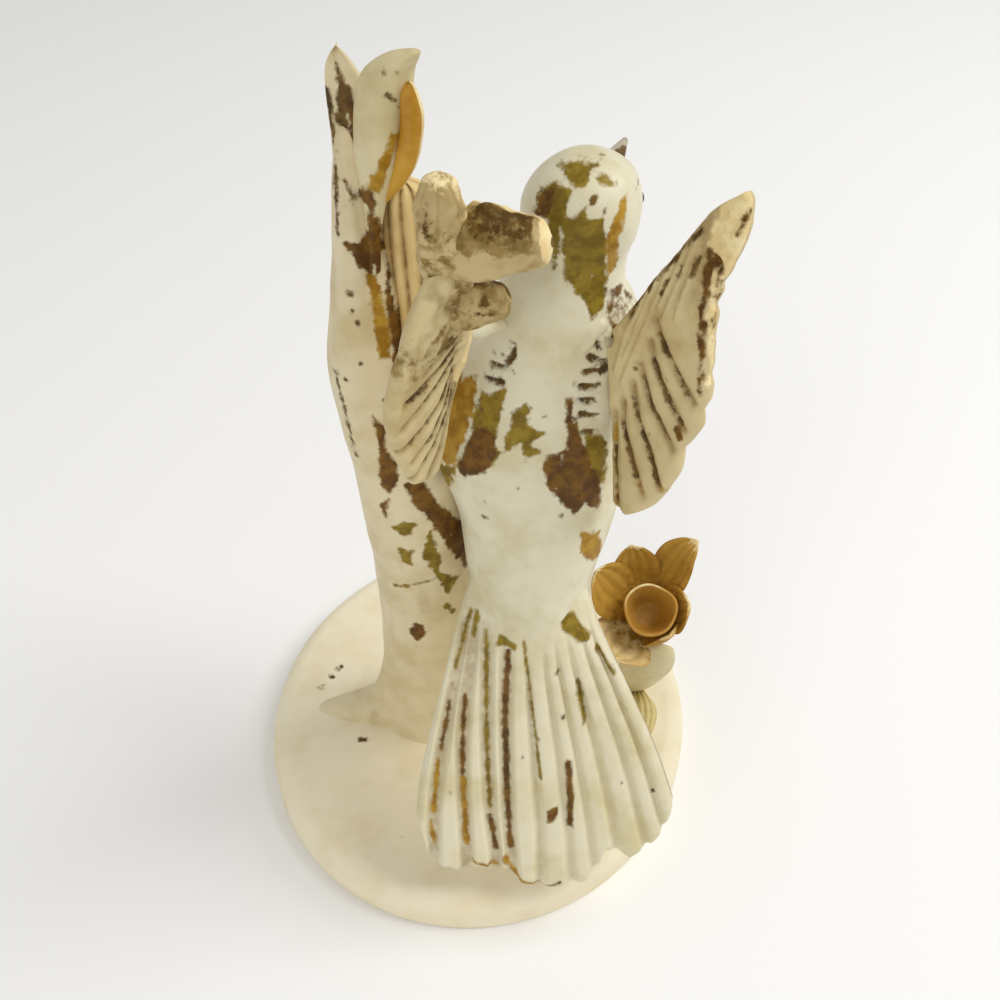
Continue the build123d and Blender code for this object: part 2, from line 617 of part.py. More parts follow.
def make_pieces():
    """All pieces by name; the smaller of two that meet is cut by the larger."""
    block = make_base_block()
    stem_form = make_stem()
    trunk = trim(make_trunk_form(), block) + tenon(0)
    pieces = {"base": trim(block, tenon(SOCKET_CLEARANCE), stem_form), "trunk": trunk}

    head_form = make_head_form()
    body_form = trim(make_body_form(), trunk, head_form)
    front_leaf = trim(make_front_leaf(), trunk)
    inner_leaf = trim(make_inner_leaf(), trunk, front_leaf)
    pieces["trunk_leaf_front"] = front_leaf
    pieces["trunk_leaf_inner"] = inner_leaf
    pieces["trunk_spike"] = trim(make_spike(), trunk, front_leaf, inner_leaf)
    pieces["trunk_leaf_ribbed"] = trim(make_ribbed_leaf(), trunk, front_leaf, inner_leaf, body_form)

    tongue = make_tongue()
    right_wire = wing_wire(right_wing_frame(), RIGHT_WIRE_ANGLE)
    left_wire = wing_wire(left_wing_frame(), LEFT_WRIST_ANGLE)
    pieces["bird_body"] = trim(body_form, neck_peg(SOCKET_CLEARANCE), tongue, right_wire, left_wire)
    eye_left = make_eye(1)
    eye_right = make_eye(-1)
    pieces["bird_head"] = trim(head_form, eye_left, eye_right) + neck_peg(0)
    pieces["eye_left"] = eye_left
    pieces["eye_right"] = eye_right
    pieces["beak_upper"] = trim(make_beak(Keep.TOP), head_form)
    pieces["beak_lower"] = trim(make_beak(Keep.BOTTOM), head_form)

    right_wing = make_wing(right_wing_frame(), RIGHT_WING_LOW_ANGLE, RIGHT_WING_TIP_ANGLE,
                           RIGHT_WING_FEATHERS, right_wing_radius)
    left_wing = make_wing(left_fan_frame(), LEFT_WING_LOW_ANGLE, LEFT_WING_TIP_ANGLE,
                          LEFT_WING_FEATHERS, left_wing_radius) + make_left_arm()
    pieces["wing_right"] = trim(right_wing, body_form, right_wire)
    left_wing = trim(left_wing, body_form)
    mid_wire = plume_wire()
    top_plume = trim(make_top_plume(), left_wing, body_form)
    mid_plume = trim(make_mid_plume(), left_wing, top_plume)
    pieces["wing_left"] = trim(left_wing, left_wire, mid_wire)
    pieces["wing_left_plume_top"] = trim(top_plume, mid_wire)
    pieces["wing_left_plume_mid"] = trim(mid_plume, mid_wire)
    pieces["wing_left_plume_low"] = trim(make_low_plume(), left_wing, top_plume, mid_plume)
    pieces["wing_wire_right"] = right_wire
    pieces["wing_wire_left"] = left_wire
    pieces["plume_wire"] = mid_wire
    pieces["tail_fan"] = trim(make_tail_form(), body_form) + tongue

    calyx = make_calyx()
    cup = make_cup()
    petals = [trim(make_petal(*petal), calyx, cup) for petal in PETALS.values()]
    for number in range(1, len(petals), 2):
        petals[number] = trim(petals[number], petals[number - 1], petals[(number + 1) % len(petals)])
    for number, petal in enumerate(petals):
        pieces[f"flower_petal_{number + 1}"] = petal
    stem = trim(stem_form, calyx)
    cradle = trim(make_cradle(), block, stem, calyx, *petals)
    pieces["flower_calyx"] = calyx
    pieces["flower_cup"] = cup
    pieces["flower_stem"] = stem
    pieces["flower_leaf_cradle"] = cradle
    pieces["flower_leaf_low"] = trim(make_low_leaf(), block, stem, cradle)
    return pieces


os.makedirs("parts", exist_ok=True)
for name, piece in make_pieces().items():
    export_step(piece, f"parts/{name}.step")
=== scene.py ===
import bpy
import numpy as np
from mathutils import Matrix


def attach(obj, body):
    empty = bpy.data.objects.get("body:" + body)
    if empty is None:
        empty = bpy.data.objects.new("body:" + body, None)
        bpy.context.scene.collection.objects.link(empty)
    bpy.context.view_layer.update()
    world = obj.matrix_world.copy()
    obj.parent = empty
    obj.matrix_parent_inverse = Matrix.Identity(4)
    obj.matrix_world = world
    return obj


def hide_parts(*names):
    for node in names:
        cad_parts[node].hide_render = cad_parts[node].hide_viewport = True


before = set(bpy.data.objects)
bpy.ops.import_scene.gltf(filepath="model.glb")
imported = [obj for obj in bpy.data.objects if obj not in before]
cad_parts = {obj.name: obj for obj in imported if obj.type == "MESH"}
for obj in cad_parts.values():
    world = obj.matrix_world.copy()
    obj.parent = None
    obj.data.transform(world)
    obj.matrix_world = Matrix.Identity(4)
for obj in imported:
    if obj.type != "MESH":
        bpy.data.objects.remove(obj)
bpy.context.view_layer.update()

scene = bpy.context.scene
scene.view_settings.view_transform = "Standard"

# Camera
# Held by hand behind the bird and above it, about two hands' breadths away, looking down on its back.
MM = 0.001
CAMERA_PLACE = np.array([4.2, -132.4, 194])
LOOK_DOWN = 44.25
LENS = 39.6
SENSOR_WIDTH = 36
NEAREST = 10
camera = bpy.data.objects.new("camera", bpy.data.cameras.new("camera"))
camera.data.lens = LENS
camera.data.sensor_width = SENSOR_WIDTH
camera.data.clip_start = NEAREST * MM
camera.location = CAMERA_PLACE * MM
camera.rotation_euler = (np.radians(90 - LOOK_DOWN), 0, 0)
scene.collection.objects.link(camera)
scene.camera = camera

# Floor and light
# A pale matt table top in an even bright room, with a broad soft lamp high at the right and a weaker one
# behind the camera at the left. These sizes are in metres.
FLOOR_HALF = 3
FLOOR_ROUGHNESS = 0.8
ROOM_STRENGTH = 0.5


def tint(red, green, blue):
    """Linear colour from display values between 0 and 255."""
    share = np.array([red, green, blue]) / 255
    linear = np.where(share <= 0.04045, share / 12.92, ((share + 0.055) / 1.055) ** 2.4)
    return (*linear.tolist(), 1)


corners = [(-FLOOR_HALF, -FLOOR_HALF, 0), (FLOOR_HALF, -FLOOR_HALF, 0),
           (FLOOR_HALF, FLOOR_HALF, 0), (-FLOOR_HALF, FLOOR_HALF, 0)]
floor_mesh = bpy.data.meshes.new("floor")
floor_mesh.from_pydata(corners, [], [(0, 1, 2, 3)])
floor = bpy.data.objects.new("floor", floor_mesh)
scene.collection.objects.link(floor)
floor_paint = bpy.data.materials.new("floor")
floor_paint.use_nodes = True
floor_shader = floor_paint.node_tree.nodes["Principled BSDF"]
floor_shader.inputs["Base Color"].default_value = tint(247, 246, 243)
floor_shader.inputs["Roughness"].default_value = FLOOR_ROUGHNESS
floor_mesh.materials.append(floor_paint)

world = bpy.data.worlds.new("room")
world.use_nodes = True
room = world.node_tree.nodes["Background"]
room.inputs["Color"].default_value = (1, 1, 1, 1)
room.inputs["Strength"].default_value = ROOM_STRENGTH
scene.world = world


def lamp(name, place, aim, size, power):
    """Square soft lamp at a place, turned to its aim."""
    data = bpy.data.lights.new(name, "AREA")
    data.size = size
    data.energy = power
    light = bpy.data.objects.new(name, data)
    back = np.array(place) - np.array(aim)
    turn = np.arctan2(back[0], -back[1])
    light.rotation_euler = (np.arccos(back[2] / np.linalg.norm(back)), 0, turn)
    light.location = place
    scene.collection.objects.link(light)


lamp("key lamp", place=(0.55, 0.05, 0.75), aim=(0, 0, 0.06), size=0.5, power=4.6)
lamp("fill lamp", place=(-0.35, -0.75, 0.55), aim=(0, 0, 0.07), size=0.6, power=2)

# Oval foot
# A low domed disc of cast plaster, flat underneath, left chalk white with a satin coat.
# The stump's tenon and the flower's stem are stuck into its top. From here on sizes are in millimetres.
FOOT_HALF_LENGTH = 44.5
FOOT_HALF_WIDTH = 41.5
FOOT_TURN = 74
FOOT_HEIGHT = 9.5
FOOT_CROWN = 1.4
FOOT_ROUND = 4
FOOT_SOLE_ROUND = 0.8
FOOT_WEAR = 0.16
FOOT_SPECKS_ABOVE = 4
FOOT_SPECKS = [(0.6, (-33, 3), (-32.5, 3)), (0.5, (-31, 5.5), (-30.5, 5.5)), (0.4, (-29.5, 7)),
    (0.5, (-30, 8), (-29, 8.5)), (0.6, (-23.5, -10), (-22, -10)), (0.3, (-13.5, -31))]
CHALK = (tint(240, 229, 198), tint(233, 219, 182))
OLIVE = (tint(146, 122, 30), tint(112, 90, 8))
BROWN = (tint(120, 82, 12), tint(86, 54, 2))
OCHRE = (tint(180, 140, 42), tint(148, 106, 10))
DARK = (tint(112, 84, 32), tint(72, 52, 16))
# Colour of grime specks, also used for the painted shade in hollows and grooves.
GRIME_AND_SHADE = tint(128, 94, 26)


def circle(count):
    """Angles of that many points once round."""
    return np.linspace(0, 2 * np.pi, count, endpoint=False)


def soft_step(value, low, high):
    """0 up to low, 1 from high on, a smooth S between them; with low above high it falls from 1 to 0."""
    share = np.clip((value - low) / (high - low), 0, 1)
    return share * share * (3 - 2 * share)


def lumps(points, size, seed):
    """Uneven lumps from -1 to 1: chance heights on a cubic lattice of that size, joined smoothly.
    The large factors scramble a lattice place into its chance height."""
    cell = np.floor(points / size).astype(np.int64)
    part = points / size - cell
    part = part * part * (3 - 2 * part)
    height = np.zeros(points.shape[:-1])
    for corner in np.ndindex(2, 2, 2):
        spot = (cell + np.array(corner)) * (73856093, 19349663, 83492791)
        code = spot[..., 0] ^ spot[..., 1] ^ spot[..., 2] ^ seed * 26544357
        code = (code ^ code >> 13) * 1274126177 & 0xFFFFFFFF
        chance = ((code ^ code >> 16) & 0xFFFF) / 32767.5 - 1
        height += chance * np.where(np.array(corner) == 1, part, 1 - part).prod(-1)
    return height


def depths(flat, shapes):
    """How deep a point of a flat drawing lies inside the deepest of some shapes, below 0 outside them all.
    A shape is a list of corners, or a half width and the points of a line; one point makes a dot."""
    deepest = np.full(flat.shape[:-1], -9)
    for shape in shapes:
        line = not isinstance(shape[0], tuple)
        starts = np.array(shape[1:] if line else shape, float)
        ends = np.roll(starts, -1, 0)
        if line and len(starts) > 1:
            starts, ends = starts[:-1], ends[:-1]
        near = np.full(flat.shape[:-1], 9)
        inside = np.zeros(flat.shape[:-1], bool)
        for start, end in zip(starts, ends):
            run = end - start
            part = np.clip((flat - start) @ run / max(run @ run, 1e-9), 0, 1)
            near = np.minimum(near, np.linalg.norm(flat - start - part[..., None] * run, axis=-1))
            level = (start[1] > flat[..., 1]) != (end[1] > flat[..., 1])
            cross = start[0] + (flat[..., 1] - start[1]) * run[0] / (run[1] if run[1] else 1)
            inside ^= level & (flat[..., 0] < cross)
        deepest = np.maximum(deepest, shape[0] - near if line else np.where(inside, near, -near))
    return deepest


def layers(olive=0, brown=0, ochre=0, dark=0):
    """The covers of the four coats side by side."""
    return np.stack(np.broadcast_arrays(olive, brown, ochre, dark), -1)


def coats(flat, *drawn):
    """The covers of up to four drawn coats: a half on a shape's edge, full one millimetre inside it."""
    return layers(*(np.clip(0.5 + 0.5 * depths(flat, shapes), 0, 1) for shapes in drawn))


def skin(name, rings, cover, hollow):
    """Closed mesh over rings of points: neighbouring rings are joined by quads all the way round, the first
    and the last closed by rungs from each point to the one facing it. Faces look outward."""
    rows, columns = rings.shape[:2]
    points = rings.reshape(-1, 3)
    row, column = np.meshgrid(np.arange(rows - 1) * columns, np.arange(columns), indexing="ij")
    beside = (column + 1) % columns
    quads = np.stack([row + column, row + beside, row + columns + beside, row + columns + column], -1)
    near = np.arange(columns // 2 - 1)
    far = columns - 1 - near
    start = np.stack([near + 1, near, far, far - 1], -1)
    finish = (rows - 1) * columns + start[:, ::-1]
    faces = np.concatenate([quads.reshape(-1, 4), start, finish])
    a, b, c, d = (points[faces[:, corner]] for corner in range(4))
    if (a * (np.cross(b, c) + np.cross(c, d))).sum() < 0:
        faces = faces[:, ::-1]
    mesh = bpy.data.meshes.new(name)
    mesh.from_pydata((points * MM).tolist(), [], faces.tolist())
    mesh.shade_smooth()
    cover = np.broadcast_to(cover, (rows, columns, 4))
    hollow = np.broadcast_to(np.clip(hollow, 0, 1), (rows, columns))
    mesh.color_attributes.new("paint", "FLOAT_COLOR", "POINT").data.foreach_set("color", cover.ravel())
    mesh.attributes.new("hollow", "FLOAT", "POINT").data.foreach_set("value", hollow.ravel())
    piece = bpy.data.objects.new(name, mesh)
    scene.collection.objects.link(piece)
    return piece


def painted(name, ground, roughness=0.42, paints=(OLIVE, BROWN, OCHRE, DARK), flake=1.1, grime_and_shade=GRIME_AND_SHADE):
    """Worn paint on plaster: a mottled ground, grime and painted shade in the hollows and four coats with
    ragged flaked edges.
    The ground is a fresh and an aged colour, a coat a thin and a thick one."""
    material = bpy.data.materials.new(name)
    material.use_nodes = True
    nodes = material.node_tree.nodes
    shader = nodes["Principled BSDF"]

    def give(node, values):
        """Fills a node's sockets: a number or a colour is set, another node's output is linked."""
        for key, value in values.items():
            if isinstance(value, (int, float, tuple)):
                node.inputs[key].default_value = value
            else:
                material.node_tree.links.new(value, node.inputs[key])

    def made(kind, values, **settings):
        """New node of a kind with its settings and sockets."""
        node = nodes.new("ShaderNode" + kind)
        for key, value in settings.items():
            setattr(node, key, value)
        give(node, values)
        return node

    place = made("TexCoord", {}).outputs["Object"]

    def cloud(size, detail):
        """Noise of that size in millimetres."""
        values = {"Vector": place, "Scale": 1 / (size * MM), "Detail": detail, "Roughness": 0.62}
        return made("TexNoise", values).outputs["Fac"]

    def ramp(value, low, high, start=0, end=1):
        """Value brought from low..high to start..end with a smooth S."""
        values = {"Value": value, "From Min": low, "From Max": high, "To Min": start, "To Max": end}
        return made("MapRange", values, interpolation_type="SMOOTHSTEP").outputs["Result"]

    def reckon(operation, *values):
        """One sum of up to three values."""
        return made("Math", dict(enumerate(values)), operation=operation).outputs["Value"]

    def blend(share, first, second):
        """Colour between two; sockets 0, 6 and 7 and output 2 are those of a colour mix."""
        return made("Mix", {0: share, 6: first, 7: second}, data_type="RGBA").outputs[2]

    broad = cloud(size=9, detail=3)
    fine = cloud(size=1.6, detail=6)
    grit = cloud(size=0.45, detail=3)
    wash = ramp(cloud(size=2.4, detail=4), 0.36, 0.62)
    chips = ramp(cloud(size=1.7, detail=6), 0.64, 0.76, 1, 0.4)
    colour = blend(ramp(broad, 0.4, 0.72), *ground)
    colour = blend(ramp(grit, 0.68, 0.8, 0, 0.4), colour, grime_and_shade)
    # Painted shade and grime: the hollow attribute darkens grooves and recesses towards the grime colour.
    hollow = made("Attribute", {}, attribute_name="hollow").outputs["Fac"]
    shade_and_grime = reckon("MULTIPLY", hollow, ramp(fine, 0.3, 0.62, 0.45, 1))
    colour = blend(shade_and_grime, colour, grime_and_shade)
    cover = made("Attribute", {}, attribute_name="paint")
    split = made("SeparateColor", {"Color": cover.outputs["Color"]})
    coated = 0
    for field, paint in zip((*split.outputs, cover.outputs["Alpha"]), paints):
        edge = reckon("MULTIPLY_ADD", fine, flake, field)
        mask = reckon("MULTIPLY", ramp(edge, 0.34 + flake / 2, 0.64 + flake / 2), chips)
        colour = blend(mask, colour, blend(wash, *paint))
        coated = reckon("MAXIMUM", coated, mask)
    matt = ramp(fine, 0.3, 0.7, roughness - 0.06, roughness + 0.1)
    bumps = reckon("ADD", fine, reckon("MULTIPLY", grit, 0.3))
    bumps = reckon("MULTIPLY_ADD", coated, 0.8, bumps)
    relief = made("Bump", {"Strength": 0.35, "Distance": 0.18 * MM, "Height": bumps})
    give(shader, {"Base Color": colour, "Roughness": reckon("MULTIPLY_ADD", coated, 0.16, matt),
                  "Specular IOR Level": 0.3, "Normal": relief.outputs["Normal"]})
    return material


def fit(name, rings, material, node, cover=0, hollow=0):
    """A skin over the rings gets its material, rides on the figure and stands for its node."""
    piece = skin(name, rings, cover, hollow)
    piece.data.materials.append(material)
    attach(piece, "root")
    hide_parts(node)


def foot_rings():
    """A dome, a rounded edge, an upright wall and a flat sole carried round an oval."""
    edge = FOOT_ROUND / FOOT_HALF_WIDTH
    sole = FOOT_SOLE_ROUND / FOOT_HALF_WIDTH
    top = np.linspace(0.02, 1 - edge, 46)
    bend = np.linspace(0, np.pi / 2, 15)[1:]
    bend_top = FOOT_HEIGHT - FOOT_CROWN * (1 - edge) ** 2
    rim = 1 - edge * (1 - np.sin(bend))
    under = 1 - sole * (1 - np.cos(bend))
    share = np.concatenate([top, rim, np.ones(4), under, np.linspace(1 - sole, 0.02, 20)[1:]])[:, None]
    dome = FOOT_HEIGHT - FOOT_CROWN * top ** 2
    rim = bend_top - FOOT_ROUND * (1 - np.cos(bend))
    wall = np.linspace(bend_top - FOOT_ROUND, FOOT_SOLE_ROUND, 6)[1:-1]
    under = FOOT_SOLE_ROUND * (1 - np.sin(bend))
    height = np.concatenate([dome, rim, wall, under, np.zeros(19)])[:, None]
    angle = circle(200)
    turn = np.radians(FOOT_TURN)
    long = share * FOOT_HALF_LENGTH * np.cos(angle)
    wide = share * FOOT_HALF_WIDTH * np.sin(angle)
    rings = np.stack([long * np.cos(turn) - wide * np.sin(turn), long * np.sin(turn) + wide * np.cos(turn),
                      height + 0 * long], -1)
    rings[..., 2] -= soft_step(height, 0.5, 3) * (FOOT_WEAR + FOOT_WEAR * lumps(rings, 15, 3))
    return rings


foot_points = foot_rings()
foot_cover = coats(foot_points[..., :2], (), (), (), FOOT_SPECKS) * (foot_points[..., 2:] > FOOT_SPECKS_ABOVE)
fit("foot", foot_points, painted("foot chalk", CHALK, roughness=0.5), "base", foot_cover)

# Stump
# A pressed plaster tree stump with a root spur to the left, its tenon luted into the foot.
# Its white coat was picked out in brown, olive and ochre that has mostly flaked away.
# A row of STUMP is a height, its left and right edge and its middle from front to back.
STUMP_FLATNESS = 0.92
STUMP_PAINT_BACK = -1
STUMP = [(6.9, -18.6, 1, -2), (15.9, -17.1, -0.5, -2), (38.3, -17.1, -0.5, -2), (69.6, -18.6, -1.6, -2),
    (95.4, -20.9, -9.3, -2), (107.7, -19.3, -9.5, -2), (113, -18.5, -10.3, -2.2), (118.9, -17.9, -11.6, -3),
    (123, -17.6, -12.6, -2.6), (127, -17.1, -13.6, -1.9), (131.5, -16.6, -14.6, -0.9)]
SPUR_START = 1.3
SPUR_LENGTH = 7
SPUR_HEIGHT = 5.2
SPUR_SPREAD = 0.3
SKIRT_REACH = 1.3
BUTTRESS_REACH = 7
BUTTRESS_FADE = 12
BUTTRESS_SPREAD = 0.45
FLUTE_DEPTH = 0.14
FLUTE_LEVELS = (62, 95)
BARK_DEPTH = 0.34
BARK_GRAIN = 0.14
STUMP_WHITE = (tint(222, 208, 170), tint(206, 188, 142))
STUMP_HEART = [(-16.5, 118), (-14, 117.5), (-12.5, 121), (-11, 115.5), (-12.5, 115), (-13, 112.5),
    (-14.5, 114)]
LEAF_NECK = [(-15.5, 125.5), (-14.5, 124), (-12, 126), (-11.5, 124), (-12, 121), (-13, 121), (-12.5, 123.5),
    (-15, 123)]
STUMP_BROWN = [STUMP_HEART, LEAF_NECK,
    [(-11, 115.5), (-10.5, 108), (-9, 102), (-9.5, 97.5), (-11, 98), (-11.5, 105)],
    [(-14.5, 90), (-12.5, 87.5), (-13.5, 85.5), (-11.5, 81), (-11.5, 77.5), (-13, 75.5), (-14.5, 77.5),
     (-14, 85)], [(-14.5, 73), (-13, 74.5), (-14, 69.5), (-15, 72)],
    [(-10.5, 45), (-9, 44), (-9, 41), (-10.5, 39.5), (-12, 41)],
    # The last shape is brown paint where the stump meets the bird, deepened with painted shade of the gap
    # between them.
    [(-10.5, 77.5), (-8, 77.5), (-4.5, 70.5), (-1.5, 64.5), (-1.5, 54), (-4.5, 63), (-7, 69.5),
     (-9.5, 73.5)]]
STUMP_OCHRE = [[(-14, 113), (-12.5, 112.5), (-11, 103), (-11.5, 99), (-13, 99.5), (-13.5, 109)]]
STUMP_OLIVE = [[(-13, 68), (-11, 70), (-9, 69), (-10, 67), (-12, 66.5)],
    [(-12.5, 64), (-10, 63), (-10.5, 60), (-12, 60.5)],
    [(-7, 67), (-5.5, 60.5), (-6, 57.5), (-3, 54), (-4.5, 51), (-7.5, 59.5), (-8.5, 62.5)],
    (0.3, (-13.5, 53.5), (-10, 55), (-7, 56)), (0.4, (-5, 48.5), (-4, 46))]
STUMP_DARK = [(0.2, (-19.5, 96.5), (-18.5, 88), (-18, 81)), (0.25, (-18, 96)), (0.25, (-15.5, 99)),
    (0.25, (-12.5, 92.5)), (0.3, (-16, 110)), (0.35, (-16, 107.5)), (0.3, (-15.5, 105.5)),
    (0.2, (-17, 118.5), (-17, 122), (-16.5, 129.5)),
    [(-13, 116), (-12, 116.5), (-12, 115), (-13, 113.5), (-13.5, 114.5)]]


def round_end(share, start, spare=0.0002):
    """1 up to a start, then a quarter round down to nearly 0 at a share of 1."""
    return np.sqrt(1 - np.clip((share - start) / (1 + spare - start), 0, 1) ** 2)


def through(x, rows, column=1):
    """Smooth curve through one column of some rows over their first column: cubic pieces whose slope at a row
    is the mean of its two chords'."""
    knots, values = np.array(rows, float).T[[0, column]]
    chord = np.diff(values) / np.diff(knots)
    slope = np.concatenate([chord[:1], (chord[1:] + chord[:-1]) / 2, chord[-1:]])
    piece = np.clip(np.searchsorted(knots, x) - 1, 0, len(knots) - 2)
    width = knots[piece + 1] - knots[piece]
    part = np.clip((x - knots[piece]) / width, 0, 1)
    rest = 1 - part
    start = values[piece] * (1 + 2 * part) + slope[piece] * width * part
    end = values[piece + 1] * (1 + 2 * rest) - slope[piece + 1] * width * rest
    return start * rest ** 2 + end * part ** 2


def stump_rings():
    """Ovals between the stump's two edges, level by level; the top thins to a tongue. Near the foot one side
    runs out into the spur, and a buttress carries it up the bark. Flutes and lumps make the bark uneven."""
    share = np.linspace(0, 1, 300)[:, None] ** 1.2
    low, high = STUMP[0][0], STUMP[-1][0]
    height = low + (high - low) * share
    left = through(height, STUMP, 1)
    right = through(height, STUMP, 2)
    half = (right - left) / 2 * round_end(share, 0.985)
    middle = np.stack([(left + right) / 2, through(height, STUMP, 3), height], -1)
    angle = circle(200)
    above = np.clip((height - low - SPUR_START) / SPUR_HEIGHT, 0, 1)
    spur = SPUR_LENGTH * (1 - above) ** 1.15
    spur = spur * np.exp(-((angle - np.pi) / (SPUR_SPREAD * (0.7 + 0.6 * above))) ** 2)
    buttress = BUTTRESS_REACH * np.exp(-(height - low) / BUTTRESS_FADE)
    buttress = buttress * np.exp(-((angle - np.pi) / BUTTRESS_SPREAD) ** 2)
    flute = np.sin(5 * angle + 0.05 * height) + 0.6 * np.sin(9 * angle - 0.09 * height + 1)
    flute = FLUTE_DEPTH * flute * soft_step(height, *FLUTE_LEVELS) * np.clip(half / 4, 0, 1)
    grow = half + spur + buttress + SKIRT_REACH * np.exp(-above * 3) + flute
    rings = middle + np.stack([grow * np.cos(angle), grow * STUMP_FLATNESS * np.sin(angle), 0 * grow], -1)
    bark = BARK_DEPTH * lumps(rings * (1, 1, 0.45), 6, 5)
    bark = bark + BARK_GRAIN * lumps(rings * (1, 1, 0.4), 2.2, 6)
    swell = bark / np.maximum(half, 2) * soft_step(share, 0.03, 0.1)
    return rings + (rings - middle) * swell[..., None]


stump_points = stump_rings()
stump_cover = coats(stump_points[..., [0, 2]], STUMP_OLIVE, STUMP_BROWN, STUMP_OCHRE, STUMP_DARK)
stump_cover = stump_cover * soft_step(STUMP_PAINT_BACK - stump_points[..., 1:2], 0, 2)
stump_hollow = 0.2 * soft_step(lumps(stump_points * (1, 1, 0.3), 3, 9), 0.35, 0.8)
stump_paint = painted("stump paint", STUMP_WHITE)
fit("stump", stump_points, stump_paint, "trunk", stump_cover, stump_hollow)

# Leaves and spike on the stump
# Hand-rolled plaster leaves stuck round the stump's top: a broad one at the front with a curled ochre margin,
# a broken hollow spike behind it and a fluted one down the right side.
# A row of each is a height and its left and right edge.
FRONT_LEAF = [(113, -13.6, -11.8), (118, -13.3, -11.4), (122.7, -13.4, -10.4), (126, -13.8, -9.2),
    (130.5, -14, -8.1), (136.8, -13.2, -6.3), (139.2, -12, -5.9), (141, -9.2, -5.2), (141.9, -6.9, -5.2)]
MARGIN = [(121.5, -12.3, -11.7), (123, -11.9, -10.2), (125.2, -10.8, -7.9), (128, -9.3, -6.2),
    (131.4, -8.3, -5.3), (134.5, -7.9, -5), (137, -7.7, -5.5), (138.8, -7, -6.2)]
SPIKE = [(112, -18, -12.6), (122, -17.6, -12.4), (130, -17.2, -12.3), (134, -17.3, -12.4),
    (137.3, -17.2, -12.8), (139, -16.9, -13.6), (140.4, -16.2, -14.6), (141.3, -15.6, -15.2)]
FLUTED_LEAF = [(82, -11, -6.4), (90, -11.6, -5), (100, -11.8, -4.7), (112, -12.2, -4.7), (120, -12.2, -5),
    (123.5, -11.4, -5.8), (125.2, -9.6, -7.4)]
LEAF_POINTS = 84


def ridged(side, ridges):
    """Rounded ridges side by side from -1 to 1: 0 on their crests, -1 in the grooves between them."""
    return np.abs(np.sin(np.pi * ridges * (side + 1) / 2)) - 1


def leaf_rings(rows, front, thickness, curl, ridges=0, ridge_depth=0, hollow=0, hollow_from=0,
               lean=0):
    """Level slices up a leaf between its two edges, closing round at the tip: a flat oval bent back towards
    the edges by curl and towards the tip by lean, ridged along the leaf, its front sunk along the middle by
    hollow. Also gives how deep a point lies in a groove."""
    run = 1 - (1 - np.linspace(0, 1, 120)[:, None]) ** 1.6
    low, high = rows[0][0], rows[-1][0]
    height = low + (high - low) * run
    left = through(height, rows, 1)
    right = through(height, rows, 2)
    half = (right - left) / 2 * round_end(run, 0.97)
    breadth = 2 * half / (rows[3][2] - rows[3][1])
    loop = circle(LEAF_POINTS)
    side = np.cos(loop)
    before = np.sin(loop) > 0
    plump = thickness / 2 * np.abs(np.sin(loop)) ** 0.8 * np.sqrt(np.clip(breadth, 0, 1.2))
    groove = ridge_depth * ridged(side, ridges) * before * soft_step(np.abs(np.sin(loop)), 0.1, 0.4)
    sink = hollow * (1 - side ** 2) * before * soft_step(height, hollow_from, hollow_from + 6)
    bend = curl * side ** 2 * np.clip(breadth, 0, 1)
    depth = front + thickness / 2 + bend - np.where(before, 1, -1) * plump - groove + sink
    depth = depth + lean * soft_step(height, rows[3][0], high)
    x = (left + right) / 2 + half * side
    rings = np.stack([x, depth, height + 0 * x], -1)
    rings[..., 1] += 0.1 * lumps(rings * (1, 1, 0.5), 2.4, 11)
    return rings, -groove / max(ridge_depth, 0.01)


LEAF_CREAM = (tint(216, 204, 162), tint(198, 182, 134))
FRONT_LEAF_OCHRE = [
    [(-7.5, 132.5), (-10, 127), (-11, 125), (-12.5, 126), (-11, 128.5), (-9.5, 131.5), (-9, 132.5)]]
FRONT_LEAF_DARK = [(0.25, (-9.5, 139.5)), (0.2, (-8, 139.5)), (0.3, (-9, 137), (-8.5, 136.5)),
    (0.2, (-8, 135.5))]
FRONT_LEAF_BROWN = [STUMP_HEART, LEAF_NECK, (0.7, (-12, 121), (-11.5, 113))]
front_points, _ = leaf_rings(FRONT_LEAF, front=-6.6, thickness=2.2, curl=1.5, lean=2.3)
front_cover = coats(front_points[..., [0, 2]], (), FRONT_LEAF_BROWN, FRONT_LEAF_OCHRE, FRONT_LEAF_DARK)
front_paint = painted("front leaf paint", LEAF_CREAM)
fit("front_leaf", front_points, front_paint, "trunk_leaf_front", front_cover)

MARGIN_OCHRE = (tint(206, 158, 58), tint(172, 120, 22))
BARE_CHALK = (tint(240, 222, 170), tint(226, 200, 142))
CHIPPED = (BARE_CHALK, BROWN, OCHRE, DARK)
margin_points, _ = leaf_rings(MARGIN, front=-6.4, thickness=2.6, curl=1, hollow=0.9)
# Painted highlight: a pale band along the margin's right edge, where the light falls on its rim.
margin_highlight = layers(soft_step(np.cos(circle(LEAF_POINTS)), 0.72, 0.9))
margin_paint = painted("margin ochre", MARGIN_OCHRE, roughness=0.35, paints=CHIPPED, flake=0.2)
fit("leaf_margin", margin_points, margin_paint, "trunk_leaf_inner", margin_highlight)

SPIKE_DARK = [
    [(-15.5, 139), (-14.5, 136.5), (-14, 135.5), (-14.5, 133), (-15, 131), (-16.5, 128.5), (-15.5, 131),
     (-16.5, 132.5), (-15.5, 133.5), (-16, 135.5)], (0.3, (-17, 136), (-17, 132), (-16.5, 129.5)),
    (0.25, (-16.5, 129.5), (-17, 122), (-17, 118.5))]
SPIKE_BROWN = [(0.6, (-14.5, 136), (-14, 131), (-15, 126.5))]
spike_points, _ = leaf_rings(SPIKE, front=-2.4, thickness=3.4, curl=0.6, hollow=1.5, hollow_from=127)
spike_cover = coats(spike_points[..., [0, 2]], (), SPIKE_BROWN, (), SPIKE_DARK)
fit("spike", spike_points, painted("spike paint", STUMP_WHITE), "trunk_spike", spike_cover)

